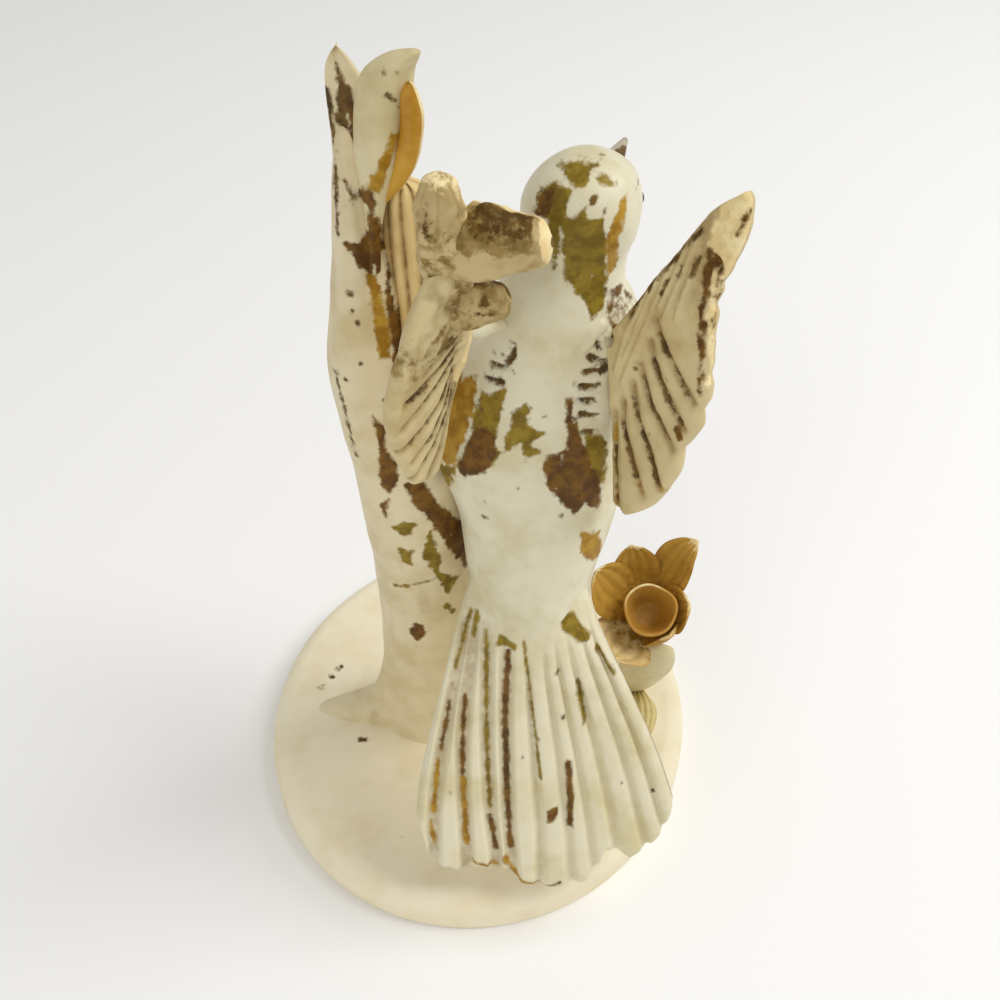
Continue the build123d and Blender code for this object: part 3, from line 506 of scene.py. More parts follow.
LEAF_TAN = (tint(228, 200, 140), tint(206, 172, 106))
fluted_points, fluted_groove = leaf_rings(FLUTED_LEAF, front=-4.6, thickness=4.4, curl=1.6, ridges=4,
                                          ridge_depth=0.7)
fluted_paint = painted("fluted leaf paint", LEAF_TAN, roughness=0.6)
# Painted shade in the leaf's grooves.
fluted_hollow = 0.95 * fluted_groove ** 1.5
fit("fluted_leaf", fluted_points, fluted_paint, "trunk_leaf_ribbed", hollow=fluted_hollow)

# Bird's body and head
# A solid egg of plaster pressed against the stump, with the head pegged on and smoothed over at the neck.
# White, with brown, olive and ochre plumage that has flaked to patches, and nicks at the shoulders.
# A row of BODY is a share of its length, the half width and half depth there, and the lean to the left.
AXIS_X = 10.54
BODY_TILT = 5.2
BODY_BACK = 14.4
BODY_RAKE = 14.3
BODY_FOOT = 46
BODY_LENGTH = 70
BODY = [(0, 4.5, 2.25, 0.2), (0.09, 8.8, 6.6, 0.68), (0.2, 10.3, 9.8, 1.24), (0.36, 12.75, 12, 0.63),
    (0.53, 15.25, 12.25, 2.26), (0.69, 13.1, 11.27, 1.13), (0.83, 9.44, 9, 0), (1, 5.25, 5.25, 0),
    (1.12, 0, 0, 0)]
HEAD_RADIUS = 7.7
HEAD_RISE = 4.6
CROWN_RISE = 6.9
NECK_SEAM = 113.2
NECK_SINK = 0.4
NECK_ROUND = 2.4
NECK_START = (105, 113)
NECK_END = (126, 119)
BODY_TOP = 115
HEAD_LOW = 111.4
TAIL_ROUND = 3
TAIL_ROUND_LEVELS = (76, 64)
NICK_DEPTH = 0.4
CHIP_RISE = 0.8
BIRD_WHITE = (tint(224, 217, 188), tint(208, 198, 158))
# A row of BIRD_SWELLS is a swell's height, its bearing and how sharp it is, and the levels where it starts,
# is full, begins to fade and ends.
BIRD_SWELLS = [(-0.6, 0, 2, 114, 119, 120, 126.5), (1, 190, 1.5, 111, 118, 120, 126.5),
               (-0.5, 0, 2, 106, 109, 110, 115), (0.9, 0, 2, 96, 101, 104, 109),
               (2, 188, 1.5, 98, 106, 110, 118)]
BIRD_OLIVE = [[(1.5, 95), (5, 96.5), (3.5, 88.5), (0, 89.5), (0.5, 92)],
    [(3.5, 88.5), (4.5, 88), (2.5, 85)],
    [(-7.5, 79), (-2.5, 83), (-3, 79.5), (-4, 75.5), (-5, 77.5), (-7, 75.5)],
    [(7.5, 95.5), (8.5, 95), (8, 92.5), (10.5, 91.5), (8.5, 89.5), (10, 88.5), (8, 87), (7.5, 90),
     (4.5, 87.5), (6, 94)], [(16, 90.5), (19, 89.5), (20, 86), (20, 80), (18.5, 81.5), (17, 85.5)],
    [(11.5, 127), (14, 128), (17.5, 128), (16, 127.5), (15, 126), (13.5, 126)],
    [(16, 127), (17.5, 127), (19, 126), (17.5, 126)],
    [(8.5, 121.5), (9, 123.5), (10.5, 125.5), (12, 126), (13, 125.5), (12.5, 122.5), (13.5, 122.5),
     (15, 124), (15.5, 122.5), (17.5, 122.5), (18, 118.5), (18.5, 112), (18.5, 108.5), (16.5, 107),
     (16, 109), (14.5, 111), (13, 113), (12.5, 117), (12, 121), (12, 117), (11.5, 114), (10.5, 119.5),
     (10.5, 121.5)]]
BIRD_BROWN = [[(0, 89.5), (2, 91), (3.5, 90), (3.5, 87.5), (2, 84), (-1.5, 82), (-2, 83.5)],
    [(13.5, 96.5), (14.5, 96.5), (14.5, 94), (16.5, 88.5), (17.5, 85), (19.5, 80.5), (19.5, 76), (17, 78.5),
     (15.5, 77.5), (11.5, 82), (10.5, 86), (11, 88), (14, 88.5), (13.5, 93.5)],
    [(8.5, 121.5), (9, 123.5), (11, 125), (10.5, 122.5), (9.5, 121)], [(19, 107), (21.5, 104), (20, 104.5)]]
BIRD_OCHRE = [[(-2, 94), (1, 96.5), (0, 91), (-2.5, 83.5), (-6, 81), (-5.5, 85), (-4, 89.5)],
    [(20, 124.5), (20.5, 124.5), (20, 120), (19.5, 118), (20, 113.5), (19, 113), (18.5, 113.5), (18, 120)],
    [(16.5, 74), (19.5, 72), (20.5, 65.5), (19, 66), (16.5, 70)]]
BIRD_NICKS = [(0.4, (16.5, 102), (18.5, 101), (19, 99.5), (16, 100)), (0.4, (15.5, 98), (18, 97.5)),
    (0.4, (15, 96), (17.5, 95.5)), (0.35, (15.5, 94), (18, 93)), (0.3, (16, 91), (18, 90.5)),
    (0.3, (17.5, 104), (18, 103)), (0.32, (6, 103), (6, 101.5), (5, 99.5), (3, 99)),
    (0.35, (2.5, 97), (4.5, 97.5))]
BIRD_DOTS = [(0.3, (3.5, 100.5)), (0.25, (6, 99.5)), (0.2, (4.5, 101)), (0.35, (7, 82.5)), (0.3, (2, 79)),
    (0.35, (2, 76)), (0.3, (13.5, 77.5)), (0.25, (10.5, 94)), (0.25, (14.5, 98.5)), (0.25, (1.5, 93)),
    (0.35, (16, 125), (16, 124.5)), (0.3, (17.5, 123.5), (17.5, 123)), (0.2, (22, 124.5)),
    (0.25, (9.5, 124.5))]
BIRD_SPECKLED = [[(18.5, 111), (20.5, 110), (23.5, 105), (21.5, 105), (19, 107.5)]]
SHOULDER_CHIPS = [(0.9, (17, 105.5), (18, 106)), (0.7, (19, 105)), (0.8, (16.5, 104.5), (15.5, 103.5)),
    (0.6, (18, 104.5))]
TAIL_LINE_HEIGHT = 60.7
TAIL_LINE_BACK = -19.3
TAIL_LINE_SLOPE = 0.515
TAIL_LINE_EASE = 0.16


def body_axis(share):
    """Middle line of the body, leaning forward at first and to the right near the neck."""
    share = np.asarray(share)
    return np.stack([AXIS_X + BODY_TILT * share ** 3, -BODY_BACK + BODY_RAKE * (1 - (1 - share) ** 2),
                     BODY_FOOT + BODY_LENGTH * share], -1)


HEAD_MIDDLE = body_axis(1) + np.array([0, 0, HEAD_RISE])


def merged(first, second, round_off):
    """The larger of two, with a rounded change from one to the other."""
    return (first + second + np.sqrt((first - second) ** 2 + round_off ** 2)) / 2


def bird_drawing(points):
    """Where points lie on the plumage's drawing: seen level from behind, the crown stretched to a ball."""
    rise = points[..., 2] - HEAD_MIDDLE[2]
    height = points[..., 2] + np.clip(rise, 0, None) * (HEAD_RADIUS / CROWN_RISE - 1)
    return np.stack([points[..., 0], height], -1)


def bird_rings(low, high, rows, seam_side):
    """Level ovals up the bird from the vent to the crown: the body's width and depth run over into the
    head's flattened ball at the neck, and the back runs down into the tail. Beyond the seam, on seam_side,
    the skin sinks a little so that the other piece covers it."""
    height = np.linspace(low, high, rows)[:, None]
    crown = HEAD_MIDDLE[2] + CROWN_RISE
    height = np.where(height > HEAD_MIDDLE[2], crown - (crown - height) ** 1.6 / CROWN_RISE ** 0.6, height)
    share = (height - BODY_FOOT) / BODY_LENGTH
    rise = height - HEAD_MIDDLE[2]
    ball = np.abs(rise) / np.where(rise > 0, CROWN_RISE, HEAD_RADIUS)
    ball = HEAD_RADIUS * np.sqrt(np.clip(1 - ball ** 2.15, 0, None))
    neck = NECK_ROUND * soft_step(height, *NECK_START) * soft_step(height, *NECK_END)
    vent = round_end(1 - share, 0.93, 0.0001)
    half_x = merged(through(share, BODY, 1) * vent, ball, neck)
    half_y = merged(through(share, BODY, 2) * vent, ball, neck)
    axis = body_axis(np.clip(share, 0, 1))
    middle_x = axis[..., 0] - through(share, BODY, 3)
    middle_y = axis[..., 1]
    tail_line = TAIL_LINE_BACK - TAIL_LINE_SLOPE * (TAIL_LINE_HEIGHT - height)
    tail_line = tail_line + TAIL_LINE_EASE * np.clip(TAIL_LINE_HEIGHT - 1 - height, 0, None)
    behind = merged(half_y, middle_y - tail_line, TAIL_ROUND * soft_step(height, *TAIL_ROUND_LEVELS))
    angle = circle(220)
    swell = -NECK_SINK * soft_step(seam_side * (height - NECK_SEAM), 0.2, 1.6)
    for amount, bearing, sharpness, start, full, fade, end in BIRD_SWELLS:
        bulge = np.clip(np.cos(angle - np.radians(bearing)), 0, 1) ** sharpness
        swell = swell + amount * bulge * soft_step(height, start, full) * soft_step(height, end, fade)
    deep = np.where(np.sin(angle) < 0, behind, half_y)
    core = np.stack([middle_x, middle_y, height], -1)
    outward = np.stack([(half_x + swell) * np.cos(angle), (deep + swell) * np.sin(angle), 0 * swell], -1)
    rings = core + outward
    outward = outward / np.maximum(np.linalg.norm(outward, axis=-1, keepdims=True), 0.001)
    drawing = bird_drawing(rings)
    rear = soft_step(middle_y + 1.5 - rings[..., 1], 0, 2.5)
    relief = 0.2 * lumps(rings, 9, 21) + 0.07 * lumps(rings, 3, 22)
    relief -= NICK_DEPTH * soft_step(depths(drawing, BIRD_NICKS), -0.2, 0.25) * rear
    relief += CHIP_RISE * soft_step(depths(drawing, SHOULDER_CHIPS), -0.3, 0.5) * rear
    cover = coats(drawing, BIRD_OLIVE, BIRD_BROWN, BIRD_OCHRE, BIRD_NICKS + BIRD_DOTS)
    speckle = 0.52 * np.clip(1 + depths(drawing, BIRD_SPECKLED), 0, 1)
    breast = soft_step(rings[..., 1] - middle_y, 3, 9) * soft_step(lumps(rings, 7, 31), -0.2, 0.5)
    cover = np.maximum(cover, layers(brown=speckle)) * rear[..., None]
    cover = np.maximum(cover, layers(ochre=0.62 * breast))
    return rings + outward * (relief * np.clip(half_x, 0, 1))[..., None], cover


body_points, body_cover = bird_rings(BODY_FOOT, BODY_TOP, rows=220, seam_side=1)
body_paint = painted("bird white", BIRD_WHITE, roughness=0.36)
fit("painted_body", body_points, body_paint, "bird_body", body_cover)
head_points, head_cover = bird_rings(HEAD_LOW, HEAD_MIDDLE[2] + CROWN_RISE - 0.02, rows=110, seam_side=-1)
head_paint = painted("head paint", BIRD_WHITE, roughness=0.36)
fit("painted_head", head_points, head_paint, "bird_head", head_cover)

# Beak and eyes
# A short grey two-part beak pushed into the head, and two black glazed beads for eyes.
BEAK_LENGTH = 6.2
BEAK_SEAT = 2
BEAK_WIDTH = 4.2
BEAK_OFFSET = 0.5
BEAK_DARK = (12.8, 10.8)
EYE_RADIUS = 1.2
EYE_FORWARD = 3.2
EYE_OUT = 5.7
EYE_RISE = -6
HEAD_BEARING = 66
HEAD_PITCH = 12


def direction(bearing, rise):
    """Unit vector at a bearing in plan, anticlockwise from +X, and a rise above level, in degrees."""
    bearing, rise = np.radians(bearing), np.radians(rise)
    return np.array([np.cos(rise) * np.cos(bearing), np.cos(rise) * np.sin(bearing), np.sin(rise)])


HEAD_AXIS = direction(HEAD_BEARING, HEAD_PITCH)
HEAD_UP = direction(HEAD_BEARING, HEAD_PITCH + 90)
HEAD_SIDE = np.cross(HEAD_UP, HEAD_AXIS)


def placed(origin, *steps):
    """Points reached from an origin by steps, each a distance and its direction."""
    for distance, way in steps:
        origin = origin + distance[..., None] * way
    return origin


def beak_rings(up, length):
    """Half rounds that taper along the head's axis to a blunt tip; up is 1 for the upper half, else -1."""
    share = np.linspace(0, 1, 40)[:, None]
    radius = BEAK_WIDTH / 2 * (1 - 0.84 * share ** 1.1) * round_end(share, 0.94, 0.0001)
    loop = circle(48)
    tall = up * (radius * np.maximum(np.sin(loop), -0.06) + 0.02) - 0.12 * share ** 2
    wide = radius * np.cos(loop) - BEAK_OFFSET
    ahead = HEAD_RADIUS - BEAK_SEAT + (BEAK_SEAT + length) * share
    return placed(HEAD_MIDDLE, (ahead, HEAD_AXIS), (tall, HEAD_UP), (wide, HEAD_SIDE))


beak_paint = painted("beak grey", (tint(196, 186, 164), tint(150, 138, 112)), roughness=0.35)
for beak_name, beak_node, beak_points in (("upper_beak", "beak_upper", beak_rings(1, 0.99 * BEAK_LENGTH)),
                                          ("lower_beak", "beak_lower", beak_rings(-1, 0.9 * BEAK_LENGTH))):
    beak_flank = np.abs((beak_points - HEAD_MIDDLE) @ HEAD_SIDE) / 1.3
    beak_dark = soft_step((beak_points - HEAD_MIDDLE) @ HEAD_AXIS, *BEAK_DARK)
    beak_cover = layers(dark=0.85 * np.clip(beak_flank * beak_dark, 0, 1))
    fit(beak_name, beak_points, beak_paint, beak_node, beak_cover)


def ball_rings(middle, radius):
    """Rings of a ball from its lowest to its highest point."""
    rise = np.linspace(-np.pi / 2, np.pi / 2, 26)[1:-1, None]
    loop = circle(48)
    return middle + radius * np.stack([np.cos(rise) * np.cos(loop), np.cos(rise) * np.sin(loop),
                                       np.sin(rise) + 0 * loop], -1)


eye_paint = painted("eye black", (tint(30, 26, 22), tint(52, 40, 28)), roughness=0.14,
                    grime_and_shade=tint(60, 50, 36))
for eye_name, eye_node, eye_turn in (("left_eye", "eye_left", 90), ("right_eye", "eye_right", -90)):
    eye_way = direction(HEAD_BEARING + eye_turn, EYE_RISE)
    eye_middle = HEAD_MIDDLE + HEAD_AXIS * EYE_FORWARD + eye_way * EYE_OUT
    fit(eye_name, ball_rings(eye_middle, EYE_RADIUS), eye_paint, eye_node)

# Right wing
# A pressed plaster wing on an iron wire, raised from the shoulder, with curved feathers on its face.
# Its tip and outer edge have broken away and show bare chalk with brown stains.
# Its rim is rows of an angle and a reach from the shoulder; its drawing is in steps out and up from there.
SHOULDER_ROW = BODY[6]


def shoulder(bearing):
    """Point on the body's skin at the shoulders' height and a bearing in plan."""
    share, half_x, half_y = SHOULDER_ROW[:3]
    turn = np.radians(bearing)
    return body_axis(share) + np.array([half_x * np.cos(turn), half_y * np.sin(turn), 0])


RIGHT_SHOULDER = shoulder(bearing=-48)
RIGHT_FACE = direction(bearing=219.9, rise=7.5)
RIGHT_OUT = direction(bearing=309.9, rise=0)
RIGHT_UP = np.cross(RIGHT_FACE, RIGHT_OUT)
RIGHT_INNER = 1.5
RIGHT_RIM = [(-76, 27), (-70, 28), (-57, 25.5), (-47, 23), (-39, 21.5), (-31, 19), (-24, 19), (-14, 19),
    (-8, 18), (-1, 18.5), (10, 18), (27, 18.5), (39, 20), (45, 22.5), (49, 25.5), (54, 29.5), (58, 32),
    (60, 32), (63.5, 26)]
WING_THICKNESS = 2.6
WING_CREAM = (tint(208, 190, 142), tint(184, 162, 110))
RIGHT_FEATHER_DEPTH = 0.85
RIGHT_FEATHER_SLOPE = 1.5
BARB_HEIGHT = 0.45
BARB_WIDTH = 0.55
HOLE_DEPTH = 0.5
BREAK_DEPTH = 0.35
RIGHT_GROOVES = [[(7.5, 6.5), (8.5, 5), (11, 2.5), (16.5, -1.5)],
    [(7.5, 3), (8.5, 1), (10.5, -1.5), (16, -6)], [(6.5, -1), (7.5, -2.5), (9.5, -5.5), (15, -10)],
    [(6, -4.5), (8.5, -9.5), (11.5, -13), (14.5, -17.5)], [(5, -8), (5.5, -10.5), (7, -13.5), (11.5, -20)],
    [(4, -10.5), (6, -19), (8, -26)], [(3, -12), (3.5, -16), (5, -26)]]
RIGHT_RIDGES = [[(6, 12), (5, 7), (3.5, 2.5), (3, -4)], [(8.5, 15.5), (7.5, 10.5), (5.5, 0.5), (4.5, -5)],
    [(11.5, 19.5), (10.5, 15), (9, 7)], [(7, 13.5), (5, 4), (4, -1)], [(10, 17.5), (9, 12.5), (8, 8.5)],
    [(12, 16.5), (11, 8.5)]]
RIGHT_STAINS = [(0.4, (8.5, 5), (11, 2.5)), (0.2, (11, 2.5), (15.5, -1)),
    (0.3, (8.5, 1), (10.5, -1.5), (13, -4)), (0.2, (13, -4), (15.5, -5.5)),
    (0.22, (7.5, -2.5), (9.5, -5.5), (14, -9)), (0.18, (6.5, -6.5), (8.5, -9.5)),
    (0.42, (9, -10), (11.5, -13), (14, -17)), (0.45, (6, -11.5), (7, -13.5), (10, -18)),
    (0.22, (5, -15.5), (6, -19), (8, -25.5)), (0.22, (4, -17), (4.5, -21)), (0.25, (11.5, -0.5)),
    (0.2, (11, -10)), (0.2, (6, -2)), (0.25, (15.5, -5))]
RIGHT_DASHES = [(0.24, (9.5, 18), (9, 16)), (0.24, (8.5, 16), (8, 14)), (0.24, (7.5, 14), (7, 12)),
    (0.24, (6.5, 12), (6, 10)), (0.24, (5.5, 10), (5, 8.5)), (0.24, (4.5, 8), (4, 6.5)),
    (0.2, (4, 6), (3.5, 4.5)), (0.2, (10.5, 19.5), (10, 18)), (0.16, (10.5, 16.5), (10, 14)),
    (0.15, (8.5, 13), (8, 10.5)), (0.16, (12.5, 18), (12, 15)), (0.2, (11.5, 21), (11, 19.5))]
RIGHT_CHALK = [[(14, 27), (16.5, 29), (17.5, 28), (16.5, 23), (16, 20.5), (13, 19.5), (13, 22.5)]]
RIGHT_BREAK = [(0, 17), (4, 16.5), (7.5, 15.5), (11, 14.5), (15.5, 14), (19.5, 13.5)]
RIGHT_BROWN = [(0.9, (14.5, 18)), (0.35, (13.5, 19), (14, 14.5)),
    (0.25, (14, 14.5), (14.5, 11), (15.5, 7.5)), (0.4, (15, 8), (15.5, 6.5)), (0.2, (15.5, 7.5), (17, 0.5)),
    (0.22, (15.5, 17.5), (15.5, 14.5), (16, 10.5)), (0.3, (16, 14), (16.5, 12)),
    (0.18, (16, 10.5), (18, 3.5)), (0.22, (16.5, 22.5), (17, 25.5)), (0.35, (15, -6.5), (16, -7.5))]


def section(count):
    """The way out along a face, round a rim and home along the back: how far out, and the turn."""
    outward = np.concatenate([np.linspace(0, 1, count), np.ones(10), np.linspace(1, 0, count)])
    bend = np.concatenate([np.zeros(count), np.linspace(0, np.pi, 12)[1:-1], np.full(count, np.pi)])
    return outward, bend


def slimmed(side, least):
    """Thickness that runs out in a quarter round at a side edge, down to the root of the least share."""
    return np.sqrt(np.clip(1 - np.clip(1 - side, 0, 1) ** 2, least, 1))


def plate_rings(pivot, out, up, face, angles, reach, inner, relief):
    """A wing's plate about a pivot: each ring is a section along one spoke. The relief lifts the face; the
    sides thin out to rounded edges. Also gives the places on the drawing and which are on the face."""
    share, bend = section(80)
    half = WING_THICKNESS / 2
    radius = inner + (reach[:, None] - half - inner) * share + half * np.sin(bend)
    u = radius * np.cos(np.radians(angles))[:, None]
    v = radius * np.sin(np.radians(angles))[:, None]
    flat = np.stack([u, v], -1)
    row = np.arange(angles.size)[:, None]
    slim = slimmed(np.minimum(row, row[::-1]) / 8, 0.02)
    lift = half * np.cos(bend) * slim + relief(flat) * (np.cos(bend) + 1) / 2
    return placed(pivot, (u, out), (v, up), (lift, face)), flat, np.cos(bend) > 0


def lines(paths, half=0):
    """Lines of one half width along paths."""
    return [(half, *path) for path in paths]


def spread(flat):
    """Points of a flat drawing at height 0."""
    return np.concatenate([flat, 0 * flat[..., :1]], -1)


def feathers(flat, grooves, slope):
    """0 on the feathers, dipping to -1 in the grooves between them along a slope of that width."""
    return np.clip(-depths(flat, lines(grooves)) / slope, 0, 1) ** 0.6 - 1


def barbs(flat):
    """1 on the thin barbs along the leading edge, 0 between them."""
    return np.exp(-(depths(flat, lines(RIGHT_RIDGES)) / BARB_WIDTH) ** 2)


def broken_rim(flat, low, high, start, full):
    """1 beyond the line where the outer edge broke; it rises from low to high past the line, and with height
    from start to full."""
    past = flat[..., 0] - np.interp(flat[..., 1], *np.transpose(RIGHT_BREAK))
    return soft_step(past, low, high) * soft_step(flat[..., 1], start, full)


def right_relief(flat):
    """Rounded feathers between grooves, thin barbs along the leading edge and a rough broken rim."""
    points = spread(flat)
    tip = soft_step(depths(flat, RIGHT_CHALK), -0.4, 0.6)
    broken = np.maximum(tip, broken_rim(flat, -0.3, 0.5, 1, 5))
    hole = soft_step(depths(flat, RIGHT_BROWN[:1]), -0.3, 0.7)
    rough = lumps(points, 1.5, 41) + 0.7 * lumps(points, 0.8, 42)
    upper = soft_step(flat[..., 1] - 0.45 * flat[..., 0], -1, 4)
    carved = RIGHT_FEATHER_DEPTH * feathers(flat, RIGHT_GROOVES, RIGHT_FEATHER_SLOPE)
    carved = carved + BARB_HEIGHT * barbs(flat) + 0.09 * lumps(points, 2, 43)
    return carved - HOLE_DEPTH * hole + (0.22 * rough - BREAK_DEPTH) * broken + 0.13 * rough * upper


right_angles = np.linspace(RIGHT_RIM[0][0], RIGHT_RIM[-1][0], 260)
right_reach = np.interp(right_angles, *np.transpose(RIGHT_RIM))
right_turn = np.radians(right_angles)
right_edge = right_reach[:, None] * np.stack([np.cos(right_turn), np.sin(right_turn), 0 * right_turn], -1)
right_reach = right_reach + 0.35 * lumps(right_edge, 1.6, 45) * soft_step(right_angles, -12, 0) - 0.3
right_points, right_flat, right_front = plate_rings(
    RIGHT_SHOULDER, RIGHT_OUT, RIGHT_UP, RIGHT_FACE, right_angles, right_reach, RIGHT_INNER, right_relief)
right_low = soft_step(right_flat[..., 1], -4, -14)
right_channel = soft_step(depths(right_flat, lines(RIGHT_GROOVES, 0.8)), -0.4, 0.6)
right_cover = coats(right_flat, RIGHT_CHALK, RIGHT_BROWN, (), RIGHT_STAINS + RIGHT_DASHES)
right_rim = broken_rim(right_flat, 0.2, 0.7, 0, 3)
right_cover = np.maximum(right_cover, layers(0.8 * right_rim, ochre=0.5 * right_channel * right_low))
right_upper = soft_step(right_flat[..., 1] - 0.8 * right_flat[..., 0], -1, 4)
# Painted shade in the feather grooves and between the barbs on the upper part.
right_hollow = np.maximum(0.75 * soft_step(depths(right_flat, lines(RIGHT_GROOVES, 0.5)), -0.6, 0.5),
                          0.5 * (1 - barbs(right_flat)) * right_upper)
right_paint = painted("right wing paint", WING_CREAM, roughness=0.5, paints=CHIPPED)
fit("right_wing", right_points, right_paint, "wing_right",
    right_cover * right_front[:, None], right_hollow * right_front)

# Left wing
# A smaller ribbed fan about the wrist, on a short arm and an iron wire from the left shoulder.
# Its rim and its drawing are set out from the wrist as the right wing's are from the shoulder.
LEFT_SHOULDER = shoulder(bearing=-150)
LEFT_FACE = direction(bearing=-37, rise=-6.9)
LEFT_OUT = direction(bearing=-127, rise=0)
LEFT_UP = np.cross(LEFT_OUT, LEFT_FACE)
LEFT_INNER = 0.6
LEFT_FEATHER_DEPTH = 0.95
LEFT_FEATHER_SLOPE = 1.3
WRIST_RADIUS = 11.5
WRIST_ANGLE = 28
ARM_SEAT = 3
ARM_RADII = [0.75, 0.75, 1.5, 0.4]
LEFT_RIM = [(-80, 23), (-74, 24.5), (-65, 24), (-59, 22), (-39, 18), (-24, 17), (-4, 15), (15, 13.5),
    (29, 14), (60, 15), (76, 13.5)]
LEFT_GROOVES = [[(2.5, 1.5), (5.5, 0.5), (9.5, -1)], [(2.5, 0.5), (6, -2), (9, -3), (13, -4)],
    [(3, -1.5), (6, -4.5), (10.5, -7), (13.5, -8)], [(3.5, -4), (5.5, -8.5), (9, -11), (13.5, -12.5)],
    [(3, -5), (4.5, -10), (7, -14), (11, -16)], [(2.5, -5), (3.5, -11), (6.5, -16.5), (10.5, -20)],
    [(2, -6), (3, -12), (5, -18), (7.5, -22.5)]]
LEFT_STAINS = [(0.3, (9, -3.5), (12.5, -4)), (0.16, (2.5, 1.5), (5.5, 0.5), (8.5, -0.5)),
    (0.18, (2.5, 0), (6, -2), (9, -3)), (0.2, (3.5, -2.5), (6, -4.5), (10.5, -7)),
    (0.2, (3.5, -4.5), (5.5, -8.5), (9, -11), (11.5, -12)),
    (0.18, (3.5, -7), (4.5, -10), (7, -14), (9.5, -15)),
    (0.16, (3, -7.5), (3.5, -11), (6.5, -16.5), (9.5, -19))]
LEFT_STAIN_RUST = [[(8.5, 2), (7.5, 2.5), (5, 3), (4.5, 2), (7.5, 1.5)]]
LEFT_BRIGHT = [(0.8, (-0.5, 1.5), (1, -2), (2, -5), (2, -6.5))]
SLIP_OLIVE = (tint(156, 130, 76), tint(122, 98, 46))


def left_way(angle):
    """Direction in the left wing's plane at an angle above its way out."""
    return LEFT_OUT * np.cos(np.radians(angle)) + LEFT_UP * np.sin(np.radians(angle))


def slip(flat):
    """1 where rough slip lies above the feathers."""
    return soft_step(flat[..., 1] + 0.3 * flat[..., 0], 0.5, 4)


def left_relief(flat):
    """Feathers that dip sharply to the grooves, and rough slip above them."""
    points = spread(flat)
    rough = slip(flat) * (0.5 * lumps(points, 4, 51) + 0.3 * lumps(points, 1.6, 52))
    carved = LEFT_FEATHER_DEPTH * feathers(flat, LEFT_GROOVES, LEFT_FEATHER_SLOPE)
    return carved + rough + 0.08 * lumps(points, 1.5, 53)


WRIST = LEFT_SHOULDER + left_way(WRIST_ANGLE) * WRIST_RADIUS
left_angles = np.linspace(LEFT_RIM[0][0], LEFT_RIM[-1][0], 240)
left_reach = np.interp(left_angles, *np.transpose(LEFT_RIM))
left_points, left_flat, left_front = plate_rings(
    WRIST, LEFT_OUT, LEFT_UP, LEFT_FACE, left_angles, left_reach, LEFT_INNER, left_relief)
left_cover = coats(left_flat, LEFT_BRIGHT, LEFT_STAIN_RUST, (), LEFT_STAINS) * left_front[:, None]
left_cover[..., 2] = 0.5 * slip(left_flat) * soft_step(lumps(left_points, 3.5, 56), -0.5, 0.4)
left_upper = soft_step(left_flat[..., 1], 0, 4)
# Painted shade in the feather grooves, and grime in lumps on the upper part.
left_hollow = np.maximum(0.7 * soft_step(depths(left_flat, lines(LEFT_GROOVES, 0.4)), -0.5, 0.4),
                         0.45 * soft_step(lumps(left_points, 1.8, 55), 0.1, 0.6) * left_upper)
left_paint = painted("left wing paint", WING_CREAM, roughness=0.46,
                     paints=(BARE_CHALK, BROWN, SLIP_OLIVE, DARK))
fit("left_wing", left_points, left_paint, "wing_left", left_cover, left_hollow * left_front)


def rod_rings(start, end, radii, roughness, seed):
    """Round rings along a straight line; the radii run smoothly from its start to its end."""
    share = np.linspace(0, 1, 40)[:, None]
    run = end - start
    first = np.cross(run, (0.3, 0.2, 0.93))
    first = first / np.linalg.norm(first)
    second = np.cross(run, first) / np.linalg.norm(run)
    loop = circle(40)
    radius = through(share * (len(radii) - 1), list(enumerate(radii)))
    core = placed(start, (share, run))
    rings = placed(core, (radius * np.cos(loop), first), (radius * np.sin(loop), second))
    return rings + (rings - core) * (roughness * lumps(rings, 2.5, seed))[..., None]


arm_seat = left_way(WRIST_ANGLE) * ARM_SEAT
arm_points = rod_rings(LEFT_SHOULDER - arm_seat, WRIST + arm_seat, ARM_RADII, roughness=0.02, seed=57)
fit("left_arm", arm_points, painted("left arm paint", BIRD_WHITE), "wing_left")

# Plumes of the left wing
# Three thick rounded plumes of rough slip built up at the wing's upper end, tan over brown.
# The middle one is carried by an iron wire, whose rusty end shows in its pale chipped tip.
# A row of each is a share of its length and how full it is there.
TOP_PLUME = [(0, 0.75), (0.4, 1), (0.75, 0.8), (0.92, 0.52), (1, 0.38)]
MID_PLUME = [(0, 1), (0.4, 1), (0.75, 0.82), (0.92, 0.64), (1, 0.42)]
LOW_PLUME = [(0, 0.9), (0.4, 1), (0.75, 0.95), (0.92, 0.72), (1, 0.4)]
TOP_PLUME_BROWN = [(0.2, (-4.5, 127.5), (-4, 131.5))]
TOP_PLUME_DARK = [(0.2, (-2, 126.5), (0.5, 124)), (0.2, (1, 129.5), (1.5, 127.5))]
LOW_PLUME_DARK = [(0.25, (2.5, 118)), (0.2, (4, 117.5)), (0.25, (1.5, 116.5)), (0.2, (3, 116))]
PLUME_TAN = (tint(198, 176, 126), tint(162, 138, 86))
PLUME_BROWN = (tint(110, 80, 24), tint(78, 54, 8))
RIGHTWARD = np.array([1, 0, 0])
UPWARD = np.array([0, 0, 1])


